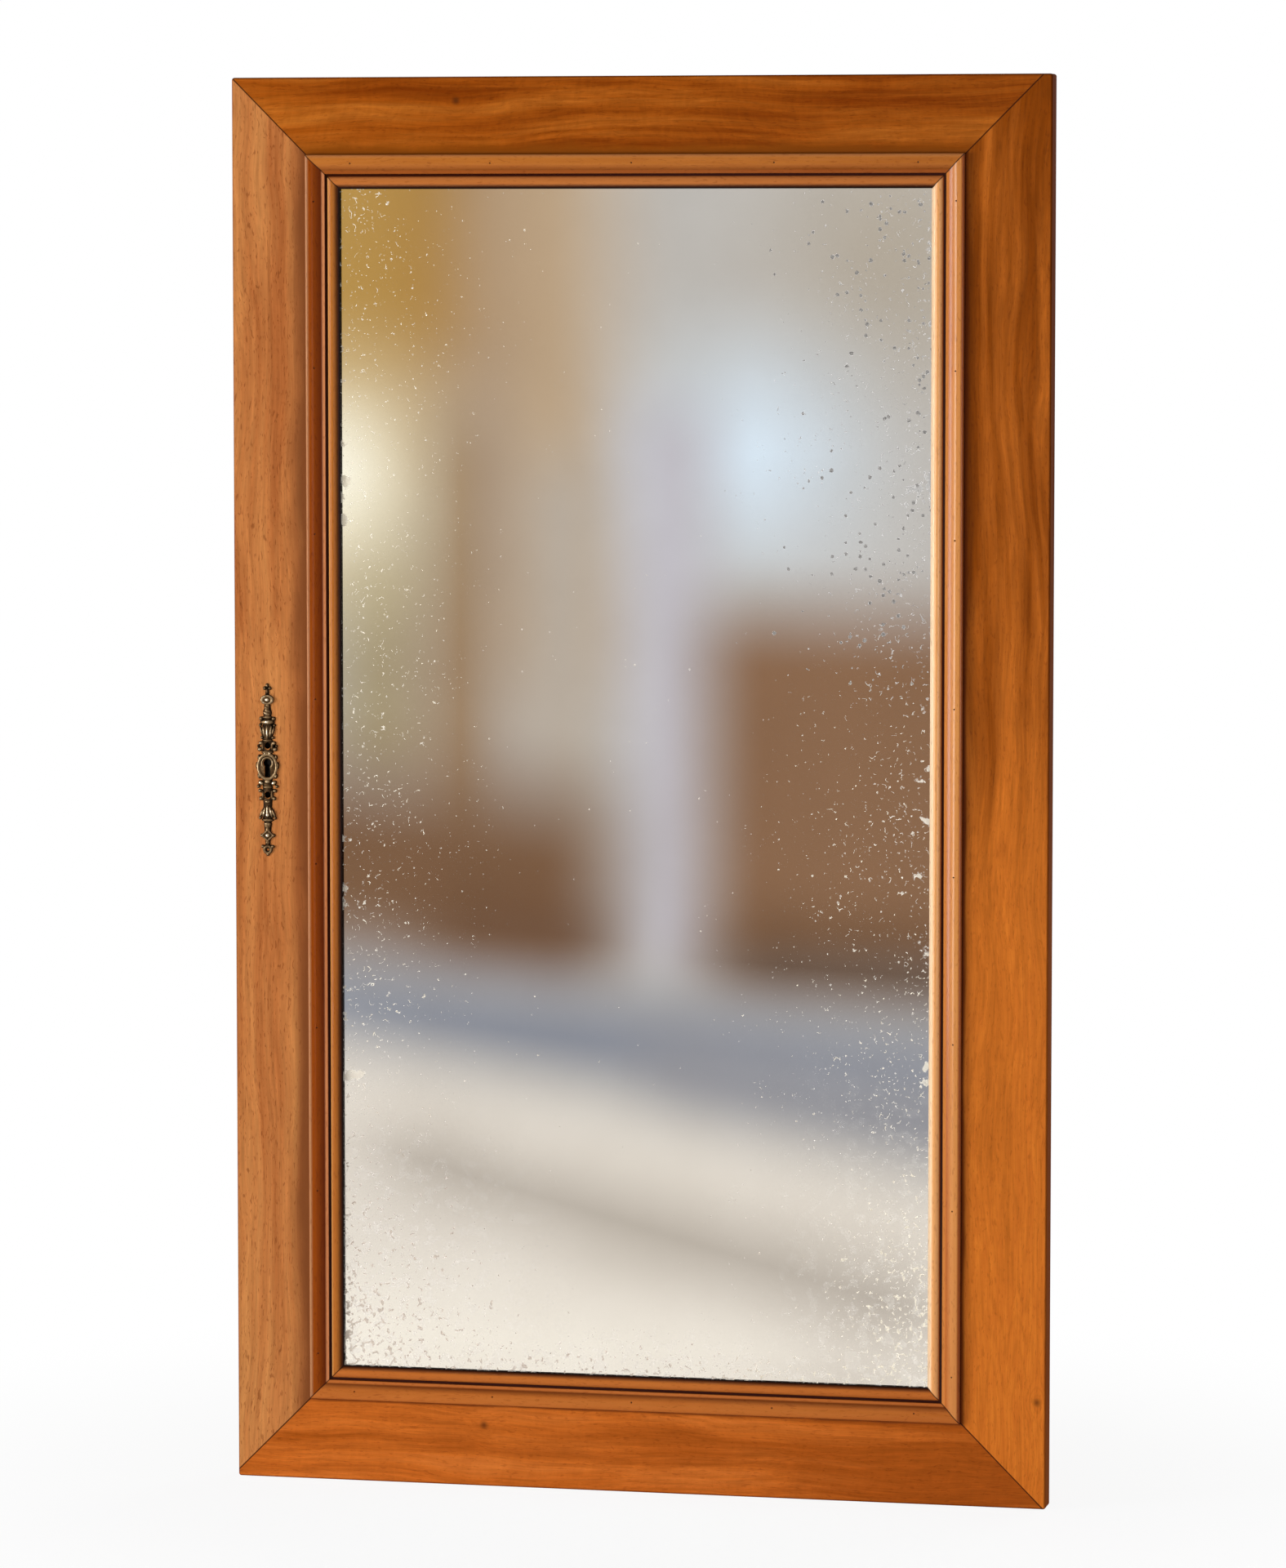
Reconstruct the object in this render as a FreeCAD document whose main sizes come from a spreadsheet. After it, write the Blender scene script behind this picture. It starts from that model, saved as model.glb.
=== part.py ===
import FreeCAD, Part
import os
import Sketcher
from FreeCAD import Placement, Rotation, Vector

# A wall mirror built like an old wardrobe door: mitred frame, planted moulding, silvered pane,
# lock and hangers.
# Millimetres; x to the right, y from front to back, z up.
# The origin is the middle of the bottom edge, halfway through the frame's thickness.
doc = FreeCAD.newDocument("wooden_mirror")
dim = doc.addObject("Spreadsheet::Sheet", "dim")
SIZES = {
    # The frame: two stiles and two rails, measured by what shows between outer edge and moulding.
    "frame_width": 800,
    "frame_height": 1364,
    "frame_thick": 24,
    "left_stile_show": 74,
    "right_stile_show": 82,
    "top_rail_show": 74,
    "bottom_rail_show": 80,
    "arris_radius": 2,
    "corner_radius": 2.5,
    "tenon_thick": 8,
    "tenon_face": 6,
    "tenon_shoulder": 10,
    "tenon_haunch": 24,
    "tenon_stop": 22,
    "mortise_clear": 0.2,
    "peg_radius": 4,
    "peg_length": 17,
    "peg_edge": 45,
    "peg_rise": 26,
    # The moulding, from its outer edge inwards: rounded lip, ogee, fillet, quirk, bead and sight edge.
    "moulding_seat": 15,
    "tongue_clear": 0.3,
    "lip_height": 6,
    "lip_radius": 2.4,
    "ogee_turn": 11,
    "ogee_turn_height": 3.2,
    "ogee_round": 14.6,
    "ogee_hollow": 15.4,
    "ogee_end": 16,
    "fillet_height": 0.8,
    "fillet_width": 2.6,
    "quirk_slope": 0.4,
    "quirk_width": 2,
    "quirk_depth": 1.2,
    "bead_width": 9.4,
    "bead_radius": 5.6,
    "bead_foot": 2.2,
    "sight_width": 2.6,
    "brad_radius": 0.8,
    "brad_length": 16,
    "brad_sink": 2,
    "brad_inset": 8.5,
    "brad_spacing": 152,
    "brad_end": 45,
    "drill_reach": 8,
    # The pane, what holds it, and the boards behind it.
    "glass_thick": 4,
    "glass_recess": 3,
    "glass_gap": 2,
    "silver_thick": 0.2,
    "block_width": 12,
    "block_length": 40,
    "block_spacing": 260,
    "block_end": 60,
    "shim_length": 60,
    "shim_end": 120,
    "board_thick": 8,
    "board_rebate": 10,
    "board_gap": 0.6,
    "board_lap": 8,
    "nail_radius": 0.9,
    "nail_length": 15,
    "nail_head_radius": 2.2,
    "nail_head_height": 0.8,
    "nail_spacing": 220,
    "nail_end": 45,
    # The escutcheon: a narrow casting around the keyhole, and its two pins.
    "keyhole_backset": 33,
    "keyhole_height": 702,
    "keyhole_radius": 4.2,
    "keyhole_slot": 6,
    "keyhole_drop": 14,
    "casting_relief": 3,
    "casting_spine": 2,
    "window_radius": 3.2,
    "window_depth": 6,
    "finial_rise": 74,
    "finial_tall": 4.5,
    "finial_wide": 4.4,
    "ring_rise": 61.5,
    "ring_tall": 7,
    "ring_wide": 7,
    "swell_rise": 38,
    "swell_tall": 15,
    "swell_wide": 7.8,
    "collar_rise": 17,
    "collar_tall": 7.5,
    "collar_wide": 9,
    "shield_rise": -4,
    "shield_tall": 17,
    "shield_wide": 10.6,
    "cuff_rise": -31,
    "cuff_tall": 9,
    "cuff_wide": 9.6,
    "bell_rise": -50,
    "bell_tall": 10,
    "bell_wide": 8.4,
    "diamond_rise": -70.5,
    "diamond_tall": 6.5,
    "diamond_wide": 6.6,
    "drop_rise": -83.5,
    "drop_tall": 6,
    "drop_wide": 6,
    "pin_radius": 0.9,
    "pin_length": 12,
    "pin_head_radius": 2,
    "pin_head_height": 1.2,
    "pin_seat": 2,
    # The lock: case let into the back of the left stile, its bolt thrown to the left.
    "lock_plate_thick": 2,
    "lock_lug": 12,
    "lock_tail": 10,
    "lock_box_width": 50,
    "lock_box_height": 60,
    "lock_inside_depth": 9,
    "lock_wall": 1.5,
    "lock_cover_thick": 1.2,
    "lock_clear": 0.3,
    "bolt_tail_gap": 4.5,
    "bolt_height": 16,
    "bolt_throw": 10,
    "talon_width": 8,
    "talon_height": 4.5,
    "guide_radius": 2,
    "guide_setback": 26,
    "guide_rise": 10.5,
    "spring_room": 5.5,
    "spring_thick": 0.6,
    "spring_width": 6,
    "spring_end": 4,
    "screw_radius": 1.6,
    "screw_head_radius": 3.2,
    "screw_head_height": 1.5,
    "screw_length": 14,
    "lock_screw_inset": 12,
    # The hangers: a plate with an eye on the back of each stile, and a D-ring swinging in it.
    "hanger_drop": 280,
    "hanger_width": 20,
    "hanger_length": 60,
    "hanger_thick": 1.5,
    "hanger_screw_top": 16,
    "hanger_screw_low": 46,
    "ring_wire": 2,
    "eye_clear": 0.08,
    "eye_wall": 2,
    "ring_side_gap": 1,
    "ring_corner": 3,
    "ring_arm": 16,
    "overcut": 10,
}
for row, (alias, number) in enumerate(SIZES.items(), 1):
    dim.set("A%d" % row, alias)
    dim.set("B%d" % row, str(number))
    dim.setAlias("B%d" % row, alias)
doc.recompute()
nodes = []

LEFT_EDGE = "(-dim.frame_width / 2)"
RIGHT_EDGE = "(dim.frame_width / 2)"
TOP_EDGE = "dim.frame_height"
FRONT = "(-dim.frame_thick / 2)"
BACK = "(dim.frame_thick / 2)"
MOULD_LEFT = "(%s + dim.left_stile_show)" % LEFT_EDGE
MOULD_RIGHT = "(%s - dim.right_stile_show)" % RIGHT_EDGE
MOULD_TOP = "(dim.frame_height - dim.top_rail_show)"
MOULD_BOTTOM = "dim.bottom_rail_show"
LEFT_IN = "(%s + dim.moulding_seat)" % MOULD_LEFT
RIGHT_IN = "(%s - dim.moulding_seat)" % MOULD_RIGHT
TOP_IN = "(%s - dim.moulding_seat)" % MOULD_TOP
BOTTOM_IN = "(%s + dim.moulding_seat)" % MOULD_BOTTOM
GLASS_FRONT = "(%s + dim.glass_recess)" % FRONT
GLASS_BACK = "(%s + dim.glass_thick)" % GLASS_FRONT
SILVER_BACK = "(%s + dim.silver_thick)" % GLASS_BACK
BOARD_FRONT = "(%s - dim.board_thick)" % BACK

FROM_FRONT = Rotation(Vector(1, 0, 0), 90)
FROM_BACK = Rotation(Vector(1, 0, 0), -90)
ALONG_X = Rotation(Vector(0, 1, 0), 90)
ALONG_Z = Rotation()


def value(expression):
    return float(dim.evalExpression(expression))


def place(thing, x, y, z, turn=ALONG_Z):
    thing.Placement = Placement(Vector(), turn)
    for axis, expression in zip("xyz", (x, y, z)):
        thing.setExpression("Placement.Base." + axis, expression)


def node(thing, label):
    """Name a finished piece, to be written out."""
    thing.Label = label
    nodes.append(thing)
    return thing


def box(x_range, y_range, z_range):
    thing = doc.addObject("Part::Box", "block")
    for side, (low, high) in zip(("Length", "Width", "Height"), (x_range, y_range, z_range)):
        thing.setExpression(side, "%s - (%s)" % (high, low))
    place(thing, x_range[0], y_range[0], z_range[0])
    return thing


def rod(x, y, z, radius, length, turn):
    thing = doc.addObject("Part::Cylinder", "rod")
    thing.setExpression("Radius", radius)
    thing.setExpression("Height", length)
    place(thing, x, y, z, turn)
    return thing


def compound(things):
    group = doc.addObject("Part::Compound", "group")
    group.Links = things
    return group


def fuse(things):
    whole = doc.addObject("Part::MultiFuse", "joined")
    whole.Shapes = things
    return whole


def cut(base, tool):
    rest = doc.addObject("Part::Cut", "cut")
    rest.Base = base
    rest.Tool = tool
    return rest


def around(centre, half):
    """The range that reaches the same distance to both sides of a centre."""
    return "%s - %s" % (centre, half), "%s + %s" % (centre, half)


def new_body(name):
    return doc.addObject("PartDesign::Body", name)


def sketch(body, role, offset="0"):
    """A sketch on one of the body's origin planes, moved along the plane's normal."""
    flat = body.newObject("Sketcher::SketchObject", body.Name + "_sketch")
    plane = next(feature for feature in body.Origin.OriginFeatures if feature.Role == role)
    flat.AttachmentSupport = [(plane, "")]
    flat.MapMode = "FlatFace"
    flat.setExpression("AttachmentOffset.Base.z", offset)
    return flat


def front_sketch(body, depth):
    """A sketch in the front view, x across and z up, at a depth of y."""
    return sketch(body, "XZ_Plane", "-(%s)" % depth)


def arc_through(start, end, radius, side):
    """An arc between two points; side 1 bulges to the right of the way from start to end, -1 to the left."""
    chord = end - start
    half = chord.Length / 2
    rise = radius - (radius ** 2 - half ** 2) ** 0.5
    across = Vector(chord.y, -chord.x, 0).normalize()
    return Part.Arc(start, (start + end) / 2 + across * rise * side, end)


def outline(flat, points, arcs=None):
    """Draw a closed outline whose corners, and arcs from corner i to the next, are bound to expressions."""
    arcs = arcs or {}
    spots = [Vector(value(x), value(y), 0) for x, y in points]
    ends = []
    for i, start in enumerate(spots):
        stop = spots[(i + 1) % len(spots)]
        if i in arcs:
            radius, side = arcs[i]
            edge = flat.addGeometry(arc_through(start, stop, value(radius), side), False)
            ends.append((edge, 1, 2) if side > 0 else (edge, 2, 1))
            rule = flat.addConstraint(Sketcher.Constraint("Radius", edge, value(radius)))
            flat.setExpression("Constraints[%d]" % rule, radius)
        else:
            edge = flat.addGeometry(Part.LineSegment(start, stop), False)
            ends.append((edge, 1, 2))
    for i, (edge, first, last) in enumerate(ends):
        following, begin, _ = ends[(i + 1) % len(ends)]
        flat.addConstraint(Sketcher.Constraint("Coincident", edge, last, following, begin))
        for kind, expression in zip(("DistanceX", "DistanceY"), points[i]):
            rule = flat.addConstraint(Sketcher.Constraint(kind, -1, 1, edge, first, value(expression)))
            flat.setExpression("Constraints[%d]" % rule, expression)


def rectangle(flat, x_range, z_range):
    (left, right), (low, high) = x_range, z_range
    outline(flat, [(left, low), (right, low), (right, high), (left, high)])


def pad(body, flat, length):
    """Raise a sketch along its normal: towards the front in the front view."""
    feature = body.newObject("PartDesign::Pad", body.Name + "_pad")
    feature.Profile = flat
    feature.setExpression("Length", length)
    doc.recompute()
    return feature


def pocket(body, flat, depth, from_back=False):
    """Cut a sketch into the body: backwards from the front view, or forwards where it starts at the back."""
    before = body.Shape.Volume
    feature = body.newObject("PartDesign::Pocket", body.Name + "_pocket")
    feature.Profile = flat
    feature.Reversed = from_back
    feature.setExpression("Length", depth)
    doc.recompute()
    if feature.Shape.Volume >= before:
        raise ValueError("a pocket of %s cuts nothing" % body.Name)
    return feature


def turned(name, points, arcs=None):
    """A round piece turned about its own z axis from half of its outline."""
    body = new_body(name)
    flat = sketch(body, "XZ_Plane")
    outline(flat, points, arcs)
    feature = body.newObject("PartDesign::Revolution", name + "_turned")
    feature.Profile = flat
    feature.ReferenceAxis = (flat, ["V_Axis"])
    feature.Angle = 360
    doc.recompute()
    return body


def copies(piece, spots, turn):
    """The same piece set at several places, as one group of separate solids."""
    group = []
    for x, y, z in spots:
        copy = doc.addObject("App::Link", piece.Name + "_copy")
        copy.LinkedObject = piece
        place(copy, x, y, z, turn)
        group.append(copy)
    return compound(group)


def spread(start, end, margin, spacing):
    """Evenly spread places along a run, about one spacing apart."""
    run = "(%s - (%s) - 2 * %s)" % (end, start, margin)
    steps = max(1, round(value(run) / value(spacing)))
    return ["(%s + %s + %d * %s / %d)" % (start, margin, i, run, steps) for i in range(steps + 1)]


# Fasteners. Each is drawn with its own z axis pointing out of the wood and the surface at zero.
peg = turned("peg", [("0", "0"), ("dim.peg_radius", "0"), ("dim.peg_radius", "-dim.peg_length"),
                     ("0", "-dim.peg_length")])
brad = turned("brad", [("0", "0"), ("dim.brad_radius", "0"), ("dim.brad_radius", "-dim.brad_length"),
                       ("0", "-dim.brad_length")])
brad_drill = turned("brad_drill", [("0", "dim.drill_reach"), ("dim.brad_radius", "dim.drill_reach"),
                                   ("dim.brad_radius", "-dim.brad_length"), ("0", "-dim.brad_length")])
nail = turned("nail", [("0", "dim.nail_head_height"), ("dim.nail_head_radius", "dim.nail_head_height"),
                       ("dim.nail_head_radius", "0"), ("dim.nail_radius", "0"),
                       ("dim.nail_radius", "-dim.nail_length"), ("0", "-dim.nail_length")])
screw = turned("screw", [("0", "0"), ("dim.screw_head_radius", "0"),
                         ("dim.screw_radius", "-dim.screw_head_height"),
                         ("dim.screw_radius", "-dim.screw_length"), ("0", "-dim.screw_length")])
PIN_DOME = "((dim.pin_head_radius ^ 2 + dim.pin_head_height ^ 2) / (2 * dim.pin_head_height))"
pin = turned("pin", [("0", "dim.pin_head_height"), ("dim.pin_head_radius", "0"), ("dim.pin_radius", "0"),
                     ("dim.pin_radius", "-dim.pin_length"), ("0", "-dim.pin_length")], {0: (PIN_DOME, -1)})

peg_spots = [(x, BACK, z)
             for x in ("(%s + dim.peg_edge)" % LEFT_EDGE, "(%s - dim.peg_edge)" % RIGHT_EDGE)
             for z in ("(%s + dim.peg_rise)" % TOP_IN, "(%s - dim.peg_rise)" % BOTTOM_IN)]
corner_pegs = node(copies(peg, peg_spots, FROM_BACK), "corner_pegs")

upright_runs = spread(MOULD_BOTTOM, MOULD_TOP, "dim.brad_end", "dim.brad_spacing")
level_runs = spread(MOULD_LEFT, MOULD_RIGHT, "dim.brad_end", "dim.brad_spacing")
BRAD_Y = "(%s - dim.brad_sink)" % FRONT
brad_spots = [("(%s + dim.brad_inset)" % MOULD_LEFT, BRAD_Y, z) for z in upright_runs]
brad_spots += [("(%s - dim.brad_inset)" % MOULD_RIGHT, BRAD_Y, z) for z in upright_runs]
brad_spots += [(x, BRAD_Y, "(%s - dim.brad_inset)" % MOULD_TOP) for x in level_runs]
brad_spots += [(x, BRAD_Y, "(%s + dim.brad_inset)" % MOULD_BOTTOM) for x in level_runs]
moulding_brads = node(copies(brad, brad_spots, FROM_FRONT), "moulding_brads")
brad_holes = copies(brad_drill, brad_spots, FROM_FRONT)

KEY_X = "(%s + dim.keyhole_backset)" % LEFT_EDGE
KEY_Z = "dim.keyhole_height"
EDGE_PLATE = "(%s + dim.lock_plate_thick)" % LEFT_EDGE
BOX_END = "(%s + dim.lock_box_width)" % EDGE_PLATE
PLATE_END = "(%s + dim.lock_tail)" % BOX_END
lock_screw_spots = [(x, BACK, z)
                    for x in ("(%s + dim.lock_screw_inset)" % LEFT_EDGE,
                              "(%s - dim.lock_screw_inset)" % PLATE_END)
                    for z in around(KEY_Z, "(dim.lock_box_height / 2 + dim.lock_lug / 2)")]
lock_screws = node(copies(screw, lock_screw_spots, FROM_BACK), "lock_screws")

HANGER_X = {"left": "((%s + %s - dim.board_rebate) / 2)" % (LEFT_EDGE, LEFT_IN),
            "right": "((%s + %s + dim.board_rebate) / 2)" % (RIGHT_EDGE, RIGHT_IN)}
EYE_Z = "(dim.frame_height - dim.hanger_drop)"
HANGER_FACE = "(%s + dim.hanger_thick)" % BACK
hanger_screw_spots = [(x, HANGER_FACE, "(%s - %s)" % (EYE_Z, drop))
                      for x in HANGER_X.values()
                      for drop in ("dim.hanger_screw_top", "dim.hanger_screw_low")]
hanger_screws = node(copies(screw, hanger_screw_spots, FROM_BACK), "hanger_screws")

PIN_Y = "(%s - dim.pin_seat)" % FRONT
pin_spots = [(KEY_X, PIN_Y, "(%s + dim.%s)" % (KEY_Z, rise)) for rise in ("ring_rise", "diamond_rise")]
escutcheon_pins = node(copies(pin, pin_spots, FROM_FRONT), "escutcheon_pins")

# Backboards: three boards lapped edge to edge, lying in the rebate around the opening.
BOARD_LEFT = "(%s - dim.board_rebate + dim.board_gap)" % LEFT_IN
BOARD_RIGHT = "(%s + dim.board_rebate - dim.board_gap)" % RIGHT_IN
BOARD_LOW = "(%s - dim.board_rebate + dim.board_gap)" % BOTTOM_IN
BOARD_HIGH = "(%s + dim.board_rebate - dim.board_gap)" % TOP_IN
BOARD_MIDDLE = "((%s + %s) / 2)" % (BOARD_FRONT, BACK)
board_names = ["backboard_left", "backboard_middle", "backboard_right"]
BOARD_WIDTH = "((%s - %s - %d * dim.board_gap) / %d)" % (BOARD_RIGHT, BOARD_LEFT, len(board_names) - 1,
                                                         len(board_names))
board_starts = ["(%s + %d * (%s + dim.board_gap))" % (BOARD_LEFT, i, BOARD_WIDTH)
                for i in range(len(board_names))]

nail_spots = []
NAIL_INSET = "dim.board_rebate / 2"
for start in board_starts:
    for x in ("(%s + dim.nail_end)" % start, "(%s + %s - dim.nail_end)" % (start, BOARD_WIDTH)):
        nail_spots += [(x, BACK, "(%s - %s)" % (BOTTOM_IN, NAIL_INSET)),
                       (x, BACK, "(%s + %s)" % (TOP_IN, NAIL_INSET))]
for x in ("(%s - %s)" % (LEFT_IN, NAIL_INSET), "(%s + %s)" % (RIGHT_IN, NAIL_INSET)):
    nail_spots += [(x, BACK, z) for z in spread(BOTTOM_IN, TOP_IN, "dim.nail_end", "dim.nail_spacing")]
backboard_nails = node(copies(nail, nail_spots, FROM_BACK), "backboard_nails")


def backboard(name, start, is_first, is_last):
    """A board with its lap: a tongue at the front of its right edge goes under the next board's left edge."""
    body = new_body(name + "_plain")
    end = "(%s + %s)" % (start, BOARD_WIDTH)
    points = [(start, BACK), (end, BACK)]
    if is_last:
        points += [(end, BOARD_FRONT)]
    else:
        tongue = "(%s + dim.board_lap)" % end
        points += [(end, BOARD_MIDDLE), (tongue, BOARD_MIDDLE), (tongue, BOARD_FRONT)]
    if is_first:
        points += [(start, BOARD_FRONT)]
    else:
        lapped = "(%s + dim.board_lap)" % start
        points += [(lapped, BOARD_FRONT), (lapped, BOARD_MIDDLE), (start, BOARD_MIDDLE)]
    flat = sketch(body, "XY_Plane", BOARD_LOW)
    outline(flat, points)
    pad(body, flat, "%s - %s" % (BOARD_HIGH, BOARD_LOW))
    return node(cut(body, backboard_nails), name)


for i, name in enumerate(board_names):
    backboard(name, board_starts[i], i == 0, i == len(board_names) - 1)

# Pane: the glass stands on two shims and lies against the back of the moulding; blocks behind press it there.
glass_x = ("(%s + dim.glass_gap)" % LEFT_IN, "(%s - dim.glass_gap)" % RIGHT_IN)
glass_z = ("(%s + dim.glass_gap)" % BOTTOM_IN, "(%s - dim.glass_gap)" % TOP_IN)
mirror_glass = node(box(glass_x, (GLASS_FRONT, GLASS_BACK), glass_z), "mirror_glass")
mirror_silvering = node(box(glass_x, (GLASS_BACK, SILVER_BACK), glass_z), "mirror_silvering")

shim_starts = ["(%s + dim.shim_end)" % LEFT_IN, "(%s - dim.shim_end - dim.shim_length)" % RIGHT_IN]
shims = [box((x, "%s + dim.shim_length" % x), (GLASS_FRONT, GLASS_BACK), (BOTTOM_IN, glass_z[0]))
         for x in shim_starts]
setting_blocks = node(compound(shims), "setting_blocks")

block_depth = (SILVER_BACK, BOARD_FRONT)
HALF_BLOCK = "dim.block_length / 2"
blocks = []
for z in spread(BOTTOM_IN, TOP_IN, "dim.block_end", "dim.block_spacing"):
    for x_range in ((LEFT_IN, "%s + dim.block_width" % LEFT_IN),
                    ("(%s - dim.block_width)" % RIGHT_IN, RIGHT_IN)):
        blocks.append(box(x_range, block_depth, around(z, HALF_BLOCK)))
for start in board_starts:
    x = "(%s + %s / 2)" % (start, BOARD_WIDTH)
    for z_range in ((BOTTOM_IN, "%s + dim.block_width" % BOTTOM_IN),
                    ("(%s - dim.block_width)" % TOP_IN, TOP_IN)):
        blocks.append(box(around(x, HALF_BLOCK), block_depth, z_range))
glazing_blocks = node(compound(blocks), "glazing_blocks")

# Escutcheon: domed swellings along a slim spine, cut off flat where they lie on the stile.
lobe_names = ["finial", "ring", "swell", "collar", "shield", "cuff", "bell", "diamond", "drop"]


def lobe(name):
    thing = doc.addObject("Part::Ellipsoid", name)
    thing.setExpression("Radius1", "dim.%s_tall" % name)
    thing.setExpression("Radius2", "dim.%s_wide" % name)
    thing.setExpression("Radius3", "dim.casting_relief")
    place(thing, KEY_X, FRONT, "%s + dim.%s_rise" % (KEY_Z, name))
    return thing


spine = rod(KEY_X, FRONT, "%s + dim.drop_rise" % KEY_Z, "dim.casting_spine",
            "dim.finial_rise - dim.drop_rise", ALONG_Z)
casting = fuse([lobe(name) for name in lobe_names] + [spine])
stile_side = box((LEFT_EDGE, LEFT_IN), (FRONT, BACK), ("0", TOP_EDGE))

CASE_BACK = "(%s - dim.lock_plate_thick)" % BACK
CASE_FRONT = "(%s - dim.lock_inside_depth)" % CASE_BACK
COVER_FRONT = "(%s - dim.lock_cover_thick)" % CASE_FRONT
BEFORE_CASTING = "(%s - dim.casting_relief - dim.overcut)" % FRONT
keyhole = fuse([rod(KEY_X, BEFORE_CASTING, KEY_Z, "dim.keyhole_radius",
                    "%s - %s" % (CASE_FRONT, BEFORE_CASTING), FROM_BACK),
                box(around(KEY_X, "dim.keyhole_slot / 2"), (BEFORE_CASTING, CASE_FRONT),
                    ("%s - dim.keyhole_drop" % KEY_Z, KEY_Z))])
windows = compound([rod(KEY_X, BEFORE_CASTING, "%s + dim.%s_rise" % (KEY_Z, name), "dim.window_radius",
                        "%s + dim.window_depth - %s" % (FRONT, BEFORE_CASTING), FROM_BACK)
                    for name in ("collar", "cuff")])
casting_cuts = compound([stile_side, keyhole, windows, escutcheon_pins])
escutcheon = node(cut(casting, casting_cuts), "escutcheon")

# Lock: an open box on a back plate, with an edge plate that the bolt slides through and a cover on the front.
plate_z = around(KEY_Z, "(dim.lock_box_height / 2 + dim.lock_lug)")
case_z = around(KEY_Z, "dim.lock_box_height / 2")
case_y = (CASE_FRONT, CASE_BACK)
CEILING = "(%s + dim.lock_box_height / 2 - dim.lock_wall)" % KEY_Z
FLOOR = "(%s - dim.lock_box_height / 2 + dim.lock_wall)" % KEY_Z
BOLT_HIGH = "(%s - dim.spring_room)" % CEILING
BOLT_LOW = "(%s - dim.bolt_height)" % BOLT_HIGH
bolt_y = ("(%s + dim.lock_clear)" % CASE_FRONT, "(%s - dim.lock_clear)" % CASE_BACK)

case_walls = [box((LEFT_EDGE, PLATE_END), (CASE_BACK, BACK), plate_z),
              box((LEFT_EDGE, EDGE_PLATE), (COVER_FRONT, CASE_BACK), plate_z),
              box((EDGE_PLATE, BOX_END), case_y, (CEILING, case_z[1])),
              box((EDGE_PLATE, BOX_END), case_y, (case_z[0], FLOOR)),
              box(("(%s - dim.lock_wall)" % BOX_END, BOX_END), case_y, (FLOOR, CEILING))]
bolt_slot = box(("(%s - dim.overcut)" % LEFT_EDGE, EDGE_PLATE),
                ("(%s - dim.lock_clear / 2)" % bolt_y[0], "(%s + dim.lock_clear / 2)" % bolt_y[1]),
                ("(%s - dim.lock_clear)" % BOLT_LOW, "(%s + dim.lock_clear)" % BOLT_HIGH))
lock_case = node(cut(fuse(case_walls), compound([bolt_slot, lock_screws])), "lock_case")
lock_cover = node(cut(box((EDGE_PLATE, BOX_END), (COVER_FRONT, CASE_FRONT), case_z), keyhole), "lock_cover")

GUIDE_X = "(%s + dim.guide_setback)" % LEFT_EDGE
GUIDE_Z = "(%s + dim.guide_rise)" % BOLT_LOW
GUIDE_ROOM = "(dim.guide_radius + dim.lock_clear)"
guide_slot = box(("(%s - %s)" % (GUIDE_X, GUIDE_ROOM), "(%s + dim.bolt_throw + %s)" % (GUIDE_X, GUIDE_ROOM)),
                 case_y, around(GUIDE_Z, GUIDE_ROOM))
talon = box(around(KEY_X, "dim.talon_width / 2"), case_y,
            ("(%s - dim.overcut)" % BOLT_LOW, "(%s + dim.talon_height)" % BOLT_LOW))
BOLT_END = "(%s - dim.lock_wall - dim.bolt_tail_gap)" % BOX_END
bolt_bar = box((LEFT_EDGE, BOLT_END), bolt_y, (BOLT_LOW, BOLT_HIGH))
lock_bolt = node(cut(bolt_bar, compound([guide_slot, talon])), "lock_bolt")
guide_rod = rod(GUIDE_X, CASE_FRONT, GUIDE_Z, "dim.guide_radius", "dim.lock_inside_depth", FROM_BACK)
lock_guide_pin = node(guide_rod, "lock_guide_pin")

spring = new_body("lock_spring_leaf")
SPRING_LEFT = "(%s + dim.spring_end)" % EDGE_PLATE
SPRING_RIGHT = "(%s - dim.lock_wall - dim.spring_end)" % BOX_END
SPRING_MIDDLE = "((%s + %s) / 2)" % (SPRING_LEFT, SPRING_RIGHT)
SPRING_LOW = "(%s + dim.lock_clear)" % BOLT_HIGH
SPRING_HIGH = "(%s - dim.spring_thick)" % CEILING
leaf = front_sketch(spring, "(%s + %s + dim.spring_width) / 2" % case_y)
outline(leaf, [(SPRING_LEFT, SPRING_HIGH), (SPRING_MIDDLE, SPRING_LOW), (SPRING_RIGHT, SPRING_HIGH),
               (SPRING_RIGHT, CEILING), (SPRING_MIDDLE, "%s + dim.spring_thick" % SPRING_LOW),
               (SPRING_LEFT, CEILING)])
pad(spring, leaf, "dim.spring_width")
lock_spring = node(spring, "lock_spring")

# Frame members. The glued-up frame is eased all round, so each member is also trimmed to this one blank.
blank = new_body("eased_frame")
blank_face = front_sketch(blank, BACK)
rectangle(blank_face, (LEFT_EDGE, RIGHT_EDGE), ("0", TOP_EDGE))
block = pad(blank, blank_face, "dim.frame_thick")


def ease(body, feature, radius, chosen):
    """Round the edges of a feature that the given test picks by their two end points."""
    picked = ["Edge%d" % (i + 1) for i, edge in enumerate(feature.Shape.Edges)
              if chosen(edge.Vertexes[0].Point, edge.Vertexes[-1].Point)]
    rounding = body.newObject("PartDesign::Fillet", body.Name + "_fillet")
    rounding.Base = (feature, picked)
    rounding.setExpression("Radius", radius)
    doc.recompute()
    return rounding


front_y = value(FRONT)
corners_eased = ease(blank, block, "dim.corner_radius",
                     lambda a, b: abs(a.y - b.y) > value("dim.frame_thick") / 2)
ease(blank, corners_eased, "dim.arris_radius",
     lambda a, b: max(a.y, b.y) < front_y + value("dim.arris_radius") / 2)

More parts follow.
